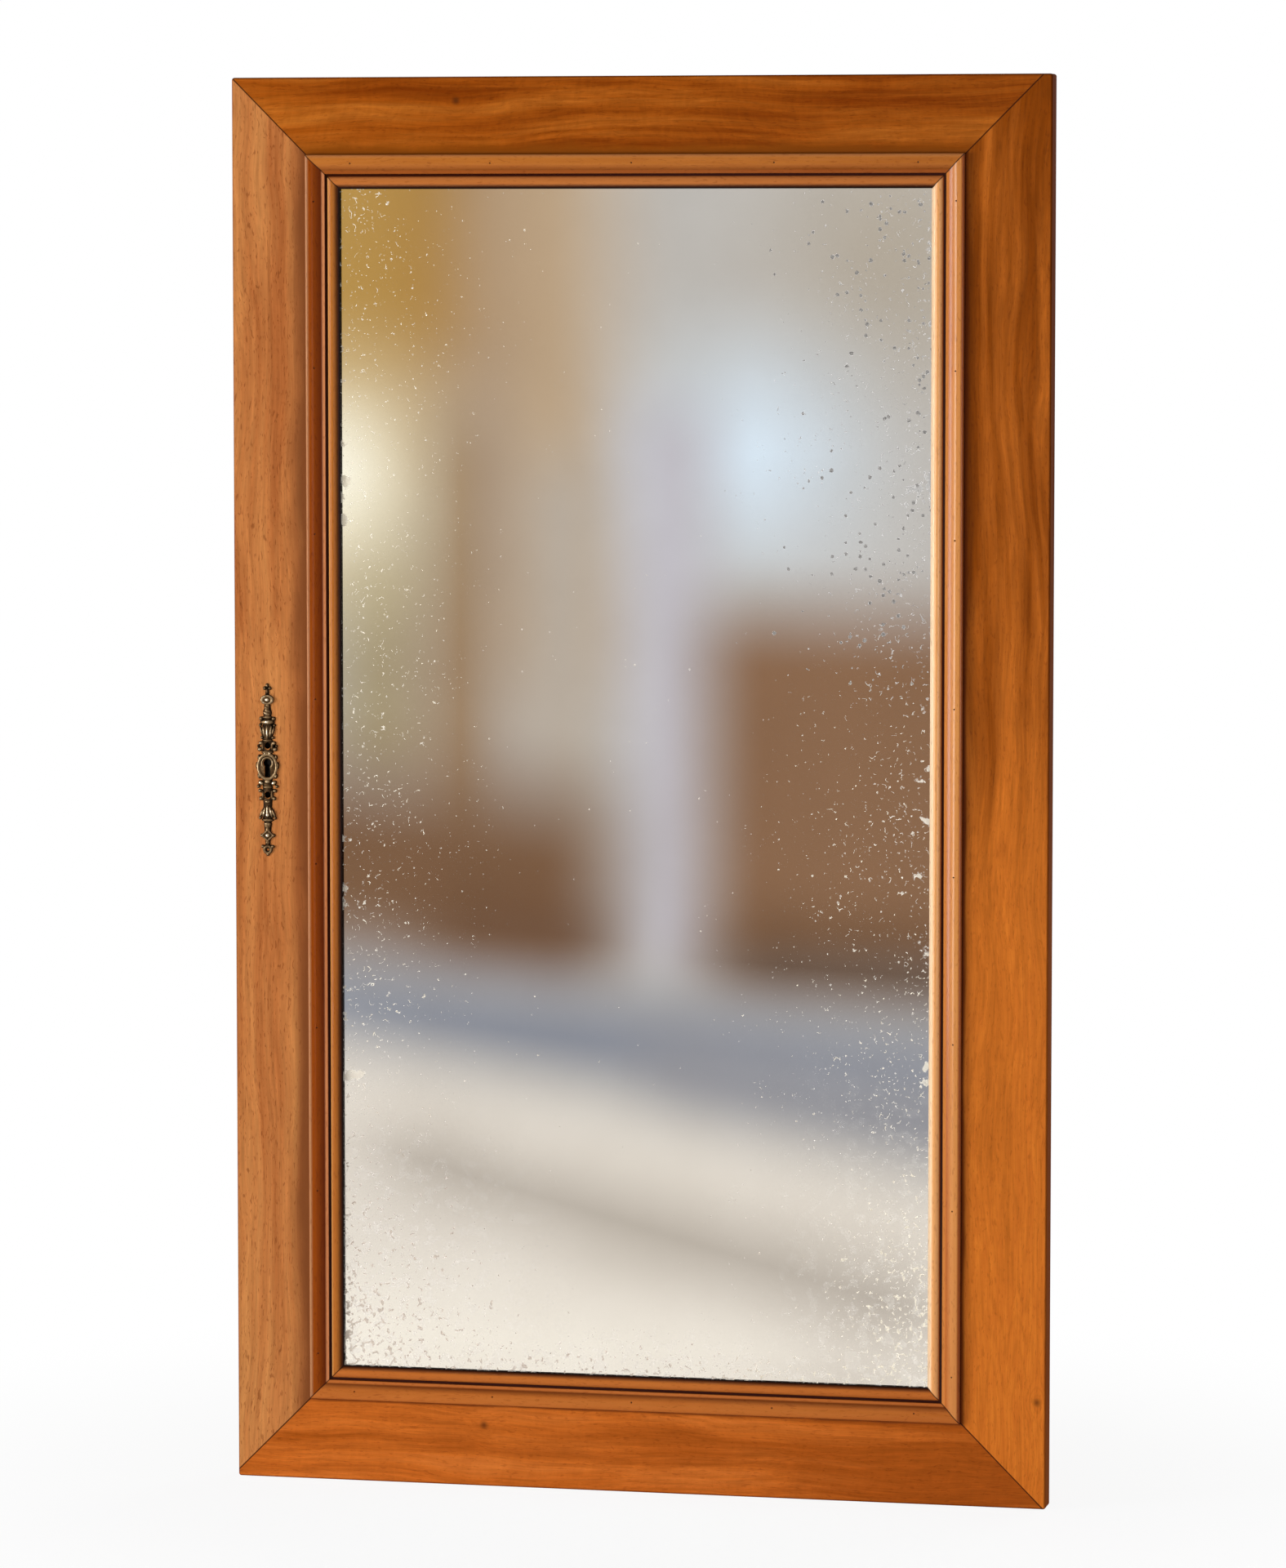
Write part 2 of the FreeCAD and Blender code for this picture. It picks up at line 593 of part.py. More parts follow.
fasteners = compound([corner_pegs, brad_holes, backboard_nails, lock_screws, hanger_screws, escutcheon_pins])
SIDES = {"left": (LEFT_EDGE, LEFT_IN, -1), "right": (RIGHT_EDGE, RIGHT_IN, 1)}
ENDS = {"bottom": (BOTTOM_IN, -1), "top": (TOP_IN, 1)}
TENON_FRONT = "(%s + dim.tenon_face)" % FRONT
TENON_BACK = "(%s + dim.tenon_thick)" % TENON_FRONT


def away(start, side, distance):
    """A place some way from another, on its positive or negative side."""
    return "(%s %s %s)" % (start, "+" if side > 0 else "-", distance)


def mitre_leg(side, end):
    """How far the mitre runs along each member: the width of the narrower one."""
    return "(min(dim.%s_stile_show; dim.%s_rail_show) + dim.moulding_seat)" % (side, end)


def tenon_ranges(side, end, clear):
    """The rectangle that a tenon fills in the front view; its mortise is larger by the clearance."""
    edge, inner_x, out = SIDES[side]
    inner_z, up = ENDS[end]
    tip = away(edge, -out, "(dim.tenon_stop - %s)" % clear)
    near = away(inner_z, up, "(dim.tenon_shoulder - %s)" % clear)
    far = away(inner_z, up, "(%s - dim.tenon_haunch + %s)" % (mitre_leg(side, end), clear))
    return (tip, inner_x), (near, far)


def new_member(name, x_range, z_range):
    body = new_body(name + "_plain")
    face = front_sketch(body, BACK)
    rectangle(face, x_range, z_range)
    pad(body, face, "dim.frame_thick")
    return body


def cut_mitres(body, joints, on_stile):
    """Cut away the other member's half of each corner, along the mitre."""
    flat = front_sketch(body, FRONT)
    for side, end in joints:
        inner_x, out = SIDES[side][1:]
        inner_z, up = ENDS[end]
        reach = "(%s + dim.overcut)" % mitre_leg(side, end)
        far_x, far_z = away(inner_x, out, reach), away(inner_z, up, reach)
        square = (inner_x, far_z) if on_stile else (far_x, inner_z)
        outline(flat, [(inner_x, inner_z), square, (far_x, far_z)])
    pocket(body, flat, "dim.frame_thick")


def cut_rebate(body):
    """The rebate around the back of the opening, for the backboards."""
    flat = front_sketch(body, BACK)
    rectangle(flat, ("(%s - dim.board_rebate)" % LEFT_IN, "(%s + dim.board_rebate)" % RIGHT_IN),
              ("(%s - dim.board_rebate)" % BOTTOM_IN, "(%s + dim.board_rebate)" % TOP_IN))
    pocket(body, flat, "dim.board_thick", from_back=True)


def finish_member(body, name, cuts):
    trimmed = doc.addObject("Part::Common", name + "_trimmed")
    trimmed.Base = body
    trimmed.Tool = blank
    return node(cut(trimmed, cuts), name)


def stile(side, more_cuts):
    name = side + "_stile"
    edge, inner_x, out = SIDES[side]
    low = away(BOTTOM_IN, -1, mitre_leg(side, "bottom"))
    high = away(TOP_IN, 1, mitre_leg(side, "top"))
    body = new_member(name, (edge, inner_x), (low, high))
    joints = [(side, end) for end in ENDS]
    cut_mitres(body, joints, on_stile=True)
    mortises = front_sketch(body, "(%s - dim.mortise_clear)" % TENON_FRONT)
    for joint in joints:
        rectangle(mortises, *tenon_ranges(*joint, "dim.mortise_clear"))
    pocket(body, mortises, "dim.tenon_thick + 2 * dim.mortise_clear")
    cut_rebate(body)
    return finish_member(body, name, compound([fasteners] + more_cuts))


def rail(end):
    name = end + "_rail"
    inner_z, up = ENDS[end]
    outer_z = TOP_EDGE if end == "top" else "0"
    left = away(LEFT_IN, -1, mitre_leg("left", end))
    right = away(RIGHT_IN, 1, mitre_leg("right", end))
    body = new_member(name, (left, right), (inner_z, outer_z))
    joints = [(side, end) for side in SIDES]
    cut_mitres(body, joints, on_stile=False)
    tenons = front_sketch(body, TENON_BACK)
    for joint in joints:
        rectangle(tenons, *tenon_ranges(*joint, "0"))
    pad(body, tenons, "dim.tenon_thick")
    cut_rebate(body)
    return finish_member(body, name, fasteners)


lock_recess = [box(("(%s - dim.overcut)" % LEFT_EDGE, PLATE_END),
                   (CASE_BACK, "%s + dim.overcut" % BACK), plate_z),
               box(("(%s - dim.overcut)" % LEFT_EDGE, EDGE_PLATE), (COVER_FRONT, BACK), plate_z),
               box(("(%s - dim.overcut)" % LEFT_EDGE, "%s + dim.lock_clear" % BOX_END),
                   ("(%s - dim.lock_clear)" % COVER_FRONT, BACK),
                   ("(%s - dim.lock_clear)" % case_z[0], "%s + dim.lock_clear" % case_z[1]))]
stile("left", lock_recess + [keyhole, windows])
stile("right", [])
rail("top")
rail("bottom")

# Moulding: one profile, u inwards and v forwards from its seat on the frame, run to four lengths and mitred.
FILLET_END = "(dim.ogee_end + dim.fillet_width)"
QUIRK_START = "(%s + dim.quirk_slope)" % FILLET_END
QUIRK_END = "(%s + dim.quirk_width)" % QUIRK_START
BEAD_END = "(%s + dim.bead_width)" % QUIRK_END
MOULDING_WIDTH = "(%s + dim.sight_width)" % BEAD_END
TONGUE = "(dim.moulding_seat + dim.tongue_clear)"
profile = [("0", "0"), ("0", "dim.lip_height - dim.lip_radius"), ("dim.lip_radius", "dim.lip_height"),
           ("dim.ogee_turn", "dim.ogee_turn_height"), ("dim.ogee_end", "dim.fillet_height"),
           (FILLET_END, "dim.fillet_height"), (QUIRK_START, "-dim.quirk_depth"),
           (QUIRK_END, "-dim.quirk_depth"), (BEAD_END, "-dim.bead_foot"),
           (MOULDING_WIDTH, "-dim.glass_recess"), (TONGUE, "-dim.glass_recess"),
           (TONGUE, "0")]
profile_arcs = {1: ("dim.lip_radius", 1), 2: ("dim.ogee_round", 1), 3: ("dim.ogee_hollow", -1),
                7: ("dim.bead_radius", 1)}


def moulding(name, length, x, z, turn):
    """A length of moulding: its own z runs along the outer edge, its own x points at the glass."""
    body = new_body(name + "_plain")
    section = sketch(body, "XY_Plane")
    outline(section, [(u, "-(%s)" % v) for u, v in profile], profile_arcs)
    pad(body, section, length)
    ends = front_sketch(body, "-(dim.lip_height + dim.overcut)")
    far = "(%s + dim.overcut)" % MOULDING_WIDTH
    outline(ends, [("-dim.overcut", "-dim.overcut"), (far, "-dim.overcut"), (far, far)])
    outline(ends, [("-dim.overcut", "%s + dim.overcut" % length), (far, "%s + dim.overcut" % length),
                   (far, "%s - %s" % (length, far))])
    pocket(body, ends, "dim.lip_height + dim.glass_recess + 2 * dim.overcut")
    place(body, x, FRONT, z, Rotation(Vector(0, 1, 0), turn))
    return node(cut(body, brad_holes), name)


UPRIGHT = "(%s - %s)" % (MOULD_TOP, MOULD_BOTTOM)
LEVEL = "(%s - %s)" % (MOULD_RIGHT, MOULD_LEFT)
moulding("moulding_left", UPRIGHT, MOULD_LEFT, MOULD_BOTTOM, 0)
moulding("moulding_right", UPRIGHT, MOULD_RIGHT, MOULD_TOP, 180)
moulding("moulding_top", LEVEL, MOULD_LEFT, MOULD_TOP, 90)
moulding("moulding_bottom", LEVEL, MOULD_RIGHT, MOULD_BOTTOM, -90)

# Hangers: the eye stands on the plate's upper end, and the D-ring's straight side turns in it.
EYE_RADIUS = "(dim.ring_wire + dim.eye_clear + dim.eye_wall)"
EYE_Y = "(%s + dim.hanger_thick / 2 + %s)" % (BACK, EYE_RADIUS)
RING_HALF = "(dim.hanger_width / 2 + dim.ring_side_gap + dim.ring_corner)"
RING_BAR = "(dim.hanger_width / 2 + dim.ring_side_gap)"


def wire_bend(x, z, radius, start, sweep):
    """A bent stretch of the ring's wire, in the front view, from a starting angle on."""
    bend = doc.addObject("Part::Torus", "bend")
    bend.setExpression("Radius1", radius)
    bend.setExpression("Radius2", "dim.ring_wire")
    bend.Angle3 = sweep
    place(bend, x, EYE_Y, z, FROM_FRONT * Rotation(Vector(0, 0, 1), start))
    return bend


for side, x in HANGER_X.items():
    half_width = "dim.hanger_width / 2"
    plate = box(around(x, half_width), (BACK, HANGER_FACE), ("%s - dim.hanger_length" % EYE_Z, EYE_Z))
    eye = rod("%s - %s" % (x, half_width), EYE_Y, EYE_Z, EYE_RADIUS, "dim.hanger_width", ALONG_X)
    bore = rod("%s - %s - dim.overcut" % (x, half_width), EYE_Y, EYE_Z, "dim.ring_wire + dim.eye_clear",
               "dim.hanger_width + 2 * dim.overcut", ALONG_X)
    node(cut(fuse([plate, eye]), compound([bore, hanger_screws])), "hanger_" + side)

    corner_z = "(%s - dim.ring_corner)" % EYE_Z
    arm_z = "(%s - dim.ring_arm)" % EYE_Z
    arm_length = "dim.ring_arm - dim.ring_corner"
    stretches = [rod("%s - %s" % (x, RING_BAR), EYE_Y, EYE_Z, "dim.ring_wire", "2 * " + RING_BAR, ALONG_X),
                 wire_bend("%s + %s" % (x, RING_BAR), corner_z, "dim.ring_corner", 0, 90),
                 wire_bend("%s - %s" % (x, RING_BAR), corner_z, "dim.ring_corner", 90, 90),
                 rod("%s + %s" % (x, RING_HALF), EYE_Y, arm_z, "dim.ring_wire", arm_length, ALONG_Z),
                 rod("%s - %s" % (x, RING_HALF), EYE_Y, arm_z, "dim.ring_wire", arm_length, ALONG_Z),
                 wire_bend(x, arm_z, RING_HALF, 180, 180)]
    node(fuse(stretches), "ring_" + side)

doc.recompute()
failed = [thing.Label for thing in doc.Objects if "Invalid" in thing.State or "Error" in thing.State]
if failed:
    raise RuntimeError("failed: " + ", ".join(failed))
for piece in nodes:
    if piece.Shape.isNull() or not piece.Shape.isValid() or not piece.Shape.Solids:
        raise RuntimeError("no valid shape: " + piece.Label)

os.makedirs("parts", exist_ok=True)
for piece in nodes:
    piece.Shape.exportStep("parts/%s.step" % piece.Label)
    print(piece.Label, len(piece.Shape.Solids), "solids", round(piece.Shape.Volume / 1000, 2), "cm3")
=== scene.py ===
# %% [markdown]
# # A wooden wall mirror
# The object is an old wardrobe door that now hangs as a mirror: four mitred members of fruitwood, a
# moulding planted round the opening, a silvered pane that has gone spotty with age, and a cast brass
# keyhole plate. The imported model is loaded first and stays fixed. All that follows dresses it, in metres,
# in the same frame: x to the right, y from front to back, z up, and the middle of the bottom edge at the
# origin.

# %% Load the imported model
import math

import bpy
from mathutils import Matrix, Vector


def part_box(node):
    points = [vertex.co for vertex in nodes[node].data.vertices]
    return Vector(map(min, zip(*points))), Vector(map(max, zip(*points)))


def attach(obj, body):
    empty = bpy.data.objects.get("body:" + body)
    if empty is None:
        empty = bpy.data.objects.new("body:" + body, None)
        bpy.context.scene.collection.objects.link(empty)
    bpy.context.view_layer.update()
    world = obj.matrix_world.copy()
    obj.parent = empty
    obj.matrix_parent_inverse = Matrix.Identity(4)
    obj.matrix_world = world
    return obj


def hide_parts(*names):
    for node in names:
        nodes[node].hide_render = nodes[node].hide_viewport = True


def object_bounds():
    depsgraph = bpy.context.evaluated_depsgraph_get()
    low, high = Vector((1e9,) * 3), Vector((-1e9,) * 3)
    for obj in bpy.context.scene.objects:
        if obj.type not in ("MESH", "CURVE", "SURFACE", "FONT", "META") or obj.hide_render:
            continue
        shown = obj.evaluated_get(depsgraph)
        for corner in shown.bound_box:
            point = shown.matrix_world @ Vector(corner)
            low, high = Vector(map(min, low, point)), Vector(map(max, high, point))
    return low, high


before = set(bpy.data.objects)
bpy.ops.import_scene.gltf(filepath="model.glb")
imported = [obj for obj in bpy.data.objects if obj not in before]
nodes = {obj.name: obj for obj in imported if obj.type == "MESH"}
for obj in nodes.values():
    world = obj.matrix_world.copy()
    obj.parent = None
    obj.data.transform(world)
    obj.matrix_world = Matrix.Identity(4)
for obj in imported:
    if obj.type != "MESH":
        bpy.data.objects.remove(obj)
cad_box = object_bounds()
print(len(nodes), "nodes, size in mm:", [round(1000 * side) for side in cad_box[1] - cad_box[0]])

# %% [markdown]
# ## Helpers for the finishes
# Colours are written as sRGB hex values, as a colour picker shows them. Shader sockets take linear light,
# so one function converts. A second fills a node's sockets and a third adds any node, which keeps a finish
# short enough to read as a recipe. Patterns lie on the object itself, in millimetres, so they stay put when
# it moves.

# %% Colours and nodes
def linear(hex_colour):
    """An sRGB hex colour as the linear colour that shader sockets take."""
    channels = [int(hex_colour[i:i + 2], 16) / 255 for i in (1, 3, 5)]
    return [c / 12.92 if c <= 0.04045 else ((c + 0.055) / 1.055) ** 2.4 for c in channels] + [1.0]


def feed(tree, node, inputs):
    """Fill a node's sockets: another node or its socket is linked, anything else is set as the value."""
    for socket, value in inputs.items():
        if isinstance(value, bpy.types.Node):
            value = value.outputs[2] if value.type == "MIX" else value.outputs[0]
        if isinstance(value, bpy.types.NodeSocket):
            tree.links.new(value, node.inputs[socket])
        else:
            node.inputs[socket].default_value = value


def add(tree, kind, inputs=None, stops=(), **settings):
    """Add a node: settings are its properties, inputs fill its sockets, stops are its colour ramp."""
    node = tree.nodes.new("ShaderNode" + kind)
    for key, setting in settings.items():
        setattr(node, key, setting)
    feed(tree, node, inputs or {})
    for i, (position, colour) in enumerate(stops):
        element = node.color_ramp.elements[i] if i < 2 else node.color_ramp.elements.new(position)
        element.position = position
        element.color = linear(colour)
    return node


# A range with this setting starts and ends softly.
SMOOTH = {"interpolation_type": "SMOOTHSTEP"}


def new_finish(name):
    """An empty material: its node tree, its shader, and its place on the object in millimetres."""
    material = bpy.data.materials.new(name)
    material.use_nodes = True
    tree = material.node_tree
    place = add(tree, "TexCoord").outputs["Object"]
    mm = add(tree, "VectorMath", {0: place, "Scale": 1000.0}, operation="SCALE")
    return material, tree, tree.nodes["Principled BSDF"], mm


def dress(material, *names):
    """Give CAD nodes a finish through their material slots."""
    for name in names:
        nodes[name].material_slots[0].material = material
    print(material.name, "on", ", ".join(names))


print("white is", linear("#ffffff"))

# %% [markdown]
# ## Where a point lies on the frame
# Several marks follow the frame and not the grain: the dark mitre lines, the painted shade beside the
# moulding, the painted light and shade across the moulding and its sight edge. All of them come from two
# numbers, how far a point lies outside the opening sideways and upwards. The larger one is the distance from
# the opening, and where the two are equal a mitre runs.

# %% The opening, measured on the loaded members
OPEN_LEFT = 1000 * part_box("left_stile")[1].x
OPEN_RIGHT = 1000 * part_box("right_stile")[0].x
OPEN_LOW = 1000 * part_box("bottom_rail")[1].z
OPEN_HIGH = 1000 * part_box("top_rail")[0].z
MOULD_OUTER = OPEN_LEFT - 1000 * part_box("moulding_left")[0].x
MOULD_INNER = 1000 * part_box("moulding_left")[1].x - OPEN_LEFT


def outside(tree, mm, left, right, low, high):
    """Two sockets in millimetres: the distance outside a rectangle, and the distance from its mitre lines."""
    centre = ((left + right) / 2, 0, (low + high) / 2)
    half = ((right - left) / 2, 0, (high - low) / 2)
    moved = add(tree, "VectorMath", {0: mm, 1: centre}, operation="SUBTRACT")
    folded = add(tree, "VectorMath", {0: moved}, operation="ABSOLUTE")
    beyond = add(tree, "VectorMath", {0: folded, 1: half}, operation="SUBTRACT")
    beyond = add(tree, "SeparateXYZ", {0: beyond})
    away = add(tree, "Math", {0: beyond.outputs["X"], 1: beyond.outputs["Z"]}, operation="MAXIMUM")
    apart = add(tree, "Math", {0: beyond.outputs["X"], 1: beyond.outputs["Z"]}, operation="SUBTRACT")
    return away, add(tree, "Math", {0: apart}, operation="ABSOLUTE")


print("opening x %.0f to %.0f, z %.0f to %.0f mm" % (OPEN_LEFT, OPEN_RIGHT, OPEN_LOW, OPEN_HIGH))

# %% [markdown]
# ## Waxed fruitwood
# Cherry or pear, planed, scraped and waxed for a century: a warm satin orange-brown, darker in clouds where
# the heartwood shows, with soft contour lines, hair-fine fibres and short dark flecks. One recipe makes
# every member, turned so that the grain runs along it. Contour lines of a slow, stretched noise look like
# plain-sawn boards, because a saw cuts through the wavy layers of the tree in just that way.

# %% The figure of a board
GRAIN_UP = (0, 0, 0)
GRAIN_LEVEL = (0, math.radians(90), 0)
KNOT_SWELL = 24.0


def figured_board(tree, mm, turn, tones, offset, ends, lines, streak, spread, near):
    """The large pattern of a board: its place in the tree, its swaying grain, and its colour so far."""
    board = add(tree, "Mapping", {"Vector": mm, "Rotation": turn, "Location": offset})
    slow = add(tree, "Mapping", {"Vector": board, "Scale": (1 / 85, 1 / 85, 1 / 280)})
    sway = add(tree, "TexNoise", {"Vector": slow, "Scale": 1.0, "Detail": 2.0})
    sway = sway.outputs["Color"]
    grain = add(tree, "VectorMath", {0: sway, 1: (38, 38, 50), 2: board}, operation="MULTIPLY_ADD")

    # Streaks of heartwood run nearly the whole length, over slower clouds.
    streaks = add(tree, "Mapping", {"Vector": grain, "Scale": (1 / streak, 1 / streak, 1 / 700)})
    streaks = add(tree, "TexNoise", {"Vector": streaks, "Scale": 1.0, "Detail": 5.0, "Roughness": 0.55})
    clouds = add(tree, "Mapping", {"Vector": board, "Scale": (1 / 70, 1 / 70, 1 / 420)})
    clouds = add(tree, "TexNoise", {"Vector": clouds, "Scale": 1.0, "Detail": 2.0})
    clouds = add(tree, "Math", {0: clouds, 1: 0.8}, operation="MULTIPLY")
    shade = add(tree, "Math", {0: streaks, 1: 1.2, 2: clouds}, operation="MULTIPLY_ADD")
    # The shift between the ends paints light and shade along the board.
    axis = "Z" if turn == GRAIN_UP else "X"
    first, last = (1000 * getattr(corner, axis.lower()) for corner in cad_box)
    along = add(tree, "SeparateXYZ", {0: mm}).outputs[axis]
    shift = add(tree, "MapRange", {0: along, 1: first, 2: last, 3: ends[0], 4: ends[1]})
    shade = add(tree, "Math", {0: shade, 1: shift})
    shade = add(tree, "MapRange", {0: shade, 1: 1 - spread, 2: 1 + spread})
    colour = add(tree, "ValToRGB", {0: shade}, stops=[(0.12, tones[2]), (0.5, tones[1]), (0.88, tones[0])])

    # Layers of growth, cut in contour lines that swell round a knot.
    layers = add(tree, "Mapping", {"Vector": grain, "Scale": (1 / 34, 1 / 34, 1 / 480)})
    layers = add(tree, "TexNoise", {"Vector": layers, "Scale": 1.0, "Detail": 1.5, "Roughness": 0.4})
    height = layers.outputs["Fac"]
    if near:
        swell = add(tree, "MapRange", {0: near, 1: KNOT_SWELL, 2: 0.0, 3: 0.0, 4: 0.12}, **SMOOTH)
        height = add(tree, "Math", {0: height, 1: swell}).outputs[0]
    contour = add(tree, "Math", {0: height, 1: 17.0}, operation="MULTIPLY")
    contour = add(tree, "Math", {0: contour, 1: 0.5}, operation="PINGPONG")
    line = add(tree, "MapRange", {0: contour, 1: 0.0, 2: 0.3, 3: lines, 4: 0.0}, **SMOOTH)
    colour = add(tree, "Mix", {0: line, 6: colour, 7: linear(tones[2])}, data_type="RGBA")
    return board, grain, colour


print("grain turned", [round(math.degrees(angle)) for angle in GRAIN_LEVEL], "degrees for the rails")

# %% [markdown]
# ## What lies in the board
# Close up, fruitwood shows fibres under a millimetre wide, rows of pores, and short dark flecks that catch
# the old wax. They could be painted on, but stretched noises do it for any board. The fibres also raise the
# surface a little and vary the gloss, which is what makes wax look like wax and not like varnish.

# %% Fibres, pores, flecks and wax
KNOT_CORE = 6.0


def fruitwood(name, turn, tones, offset, ends=(0.0, 0.0), lines=0.16, flecks=0.25, ripple=0.05, streak=15.0,
              spread=0.3, knot=None):
    """Waxed fruitwood. Tones run from light to deep; ends paint the start and the end of the board lighter or
    darker, as painted light and shade along it.
    """
    # To the eye: a warm satin brown with a quiet figure, and no sharp highlight anywhere.
    material, tree, shader, mm = new_finish(name)
    near = None
    if knot:
        spot = add(tree, "Mapping", {"Vector": mm, "Location": [-c for c in knot]})
        near = add(tree, "VectorMath", {0: spot}, operation="LENGTH").outputs["Value"]
    board, grain, colour = figured_board(tree, mm, turn, tones, offset, ends, lines, streak, spread, near)

    # Fibres are drawn 1.4 mm wide and pores 3 mm, as coarse as they need to be to show.
    fibre = add(tree, "Mapping", {"Vector": grain, "Scale": (0.7, 0.7, 1 / 36)})
    fibre = add(tree, "TexNoise", {"Vector": fibre, "Scale": 1.0, "Detail": 4.0, "Roughness": 0.6})
    colour = add(tree, "Mix", {0: 0.32, 6: colour, 7: fibre}, data_type="RGBA", blend_type="OVERLAY")
    pores = add(tree, "Mapping", {"Vector": grain, "Scale": (1 / 3.2, 1 / 3.2, 1 / 110)})
    pores = add(tree, "TexNoise", {"Vector": pores, "Scale": 1.0, "Detail": 3.0, "Roughness": 0.55})
    colour = add(tree, "Mix", {0: 0.3, 6: colour, 7: pores}, data_type="RGBA", blend_type="OVERLAY")
    curly = add(tree, "Mapping", {"Vector": grain, "Scale": (1 / 24, 1 / 24, 1 / 8)})
    curly = add(tree, "TexNoise", {"Vector": curly, "Scale": 1.0, "Detail": 2.0, "Distortion": 1.5})
    colour = add(tree, "Mix", {0: ripple, 6: colour, 7: curly}, data_type="RGBA", blend_type="OVERLAY")

    curl = add(tree, "TexNoise", {"Vector": board, "Scale": 1 / 14, "Detail": 1.0})
    curl = curl.outputs["Color"]
    curled = add(tree, "VectorMath", {0: curl, 1: (5, 5, 5), 2: grain}, operation="MULTIPLY_ADD")
    dashes = add(tree, "Mapping", {"Vector": curled, "Scale": (0.8, 0.8, 0.11)})
    dashes = add(tree, "TexNoise", {"Vector": dashes, "Scale": 1.0, "Detail": 1.0})
    fleck = add(tree, "MapRange", {0: dashes, 1: 0.6, 2: 0.7, 3: 0.0, 4: flecks}, **SMOOTH)
    colour = add(tree, "Mix", {0: fleck, 6: colour, 7: linear("#8a5226")}, data_type="RGBA",
                 blend_type="MULTIPLY")
    if near:
        core = add(tree, "MapRange", {0: near, 1: KNOT_CORE, 2: 0.0, 3: 0.0, 4: 0.7}, **SMOOTH)
        colour = add(tree, "Mix", {0: core, 6: colour, 7: linear("#3d1d0b")}, data_type="RGBA")

    satin = add(tree, "MapRange", {0: fibre, 1: 0.3, 2: 0.7, 3: 0.36, 4: 0.46})
    relief = add(tree, "Math", {0: fibre, 1: fleck}, operation="SUBTRACT")
    bump = add(tree, "Bump", {"Height": relief, "Strength": 0.2, "Distance": 0.0001})
    feed(tree, shader, {"Roughness": satin, "Normal": bump, "Specular IOR Level": 0.03})
    return material, tree, shader, mm, colour


print("a knot swells the grain for", KNOT_SWELL, "mm and is dark for", KNOT_CORE, "mm")

# %% [markdown]
# ## The four members
# Each member has its own tones, and they partly hold painted light and shade: the left stile is painted the
# palest, the top rail the darkest, and the right stile is painted from brown at the top to bright orange at
# the foot. Beside the moulding lies a dark band of painted shade, and a thin dark line marks each mitre. All
# of that is one function of the distance from the opening, laid over the wood.

# %% What use has left on a member
OUTLINE = [1000 * side for side in (cad_box[0].x, cad_box[1].x, cad_box[0].z, cad_box[1].z)]
# Left, right, low and high side of the holes that the lock needs, and how deep they lie.
LOCK_HOLES = (-375, -359, 664, 724)
HOLE_MIDDLE, HOLE_REACH = -1.5, 10.0
MITRE_DARK = "#2a1206"


def member(name, turn, tones, offset, shade_width, shade_colour, **recipe):
    """One member's finish: its wood, the painted shade beside the moulding, the mitre lines and the outer
    edge in painted shade.
    """
    finish = "waxed_fruitwood_" + name
    material, tree, shader, mm, colour = fruitwood(finish, turn, tones, offset, **recipe)
    away, off_mitre = outside(tree, mm, OPEN_LEFT, OPEN_RIGHT, OPEN_LOW, OPEN_HIGH)
    # Painted shade: a dark band beside the moulding, with a soft uneven edge.
    blur = add(tree, "Mapping", {"Vector": mm, "Scale": (1 / 30, 1 / 30, 1 / 90)})
    blur = add(tree, "TexNoise", {"Vector": blur, "Scale": 1.0, "Detail": 2.0})
    uneven = add(tree, "Math", {0: blur, 1: -shade_width, 2: away}, operation="MULTIPLY_ADD")
    begins, ends = MOULD_OUTER + 0.7 * shade_width, MOULD_OUTER - 0.4 * shade_width
    painted_shade = add(tree, "MapRange", {0: uneven, 1: begins, 2: ends, 3: 0.0, 4: 0.95}, **SMOOTH)
    colour = add(tree, "Mix", {0: painted_shade, 6: colour, 7: linear(shade_colour)}, data_type="RGBA")
    joint = add(tree, "MapRange", {0: off_mitre, 1: 1.2, 2: 0.5, 3: 0.0, 4: 0.9}, **SMOOTH)
    colour = add(tree, "Mix", {0: joint, 6: colour, 7: linear(MITRE_DARK)}, data_type="RGBA")

    # The outermost two millimetres are dull, and painted dark as painted shade on the outer edge.
    away, _ = outside(tree, mm, *OUTLINE)
    edge = add(tree, "MapRange", {0: away, 1: -2.4, 2: -0.4}, **SMOOTH)
    dark = add(tree, "Math", {0: edge, 1: 0.6}, operation="MULTIPLY")
    colour = add(tree, "Mix", {0: dark, 6: colour, 7: linear("#571c04")}, data_type="RGBA")
    satin = shader.inputs["Roughness"].links[0].from_socket
    dull = add(tree, "Math", {0: satin, 1: edge}, operation="MAXIMUM")

    # Inside the holes of the lock the wood is painted black, as painted shade in the recess.
    away, _ = outside(tree, mm, *LOCK_HOLES)
    hole = add(tree, "Math", {0: away, 1: 0.0}, operation="LESS_THAN")
    depth = add(tree, "SeparateXYZ", {0: mm}).outputs["Y"]
    deep = add(tree, "Math", {0: depth, 1: HOLE_MIDDLE, 2: HOLE_REACH}, operation="COMPARE")
    soot_and_shade = add(tree, "Math", {0: deep, 1: hole}, operation="MULTIPLY")
    colour = add(tree, "Mix", {0: soot_and_shade, 6: colour, 7: linear("#0c0704")}, data_type="RGBA")
    feed(tree, shader, {"Base Color": colour, "Roughness": dull})
    dress(material, name)


print("outline in mm:", [round(side) for side in OUTLINE])
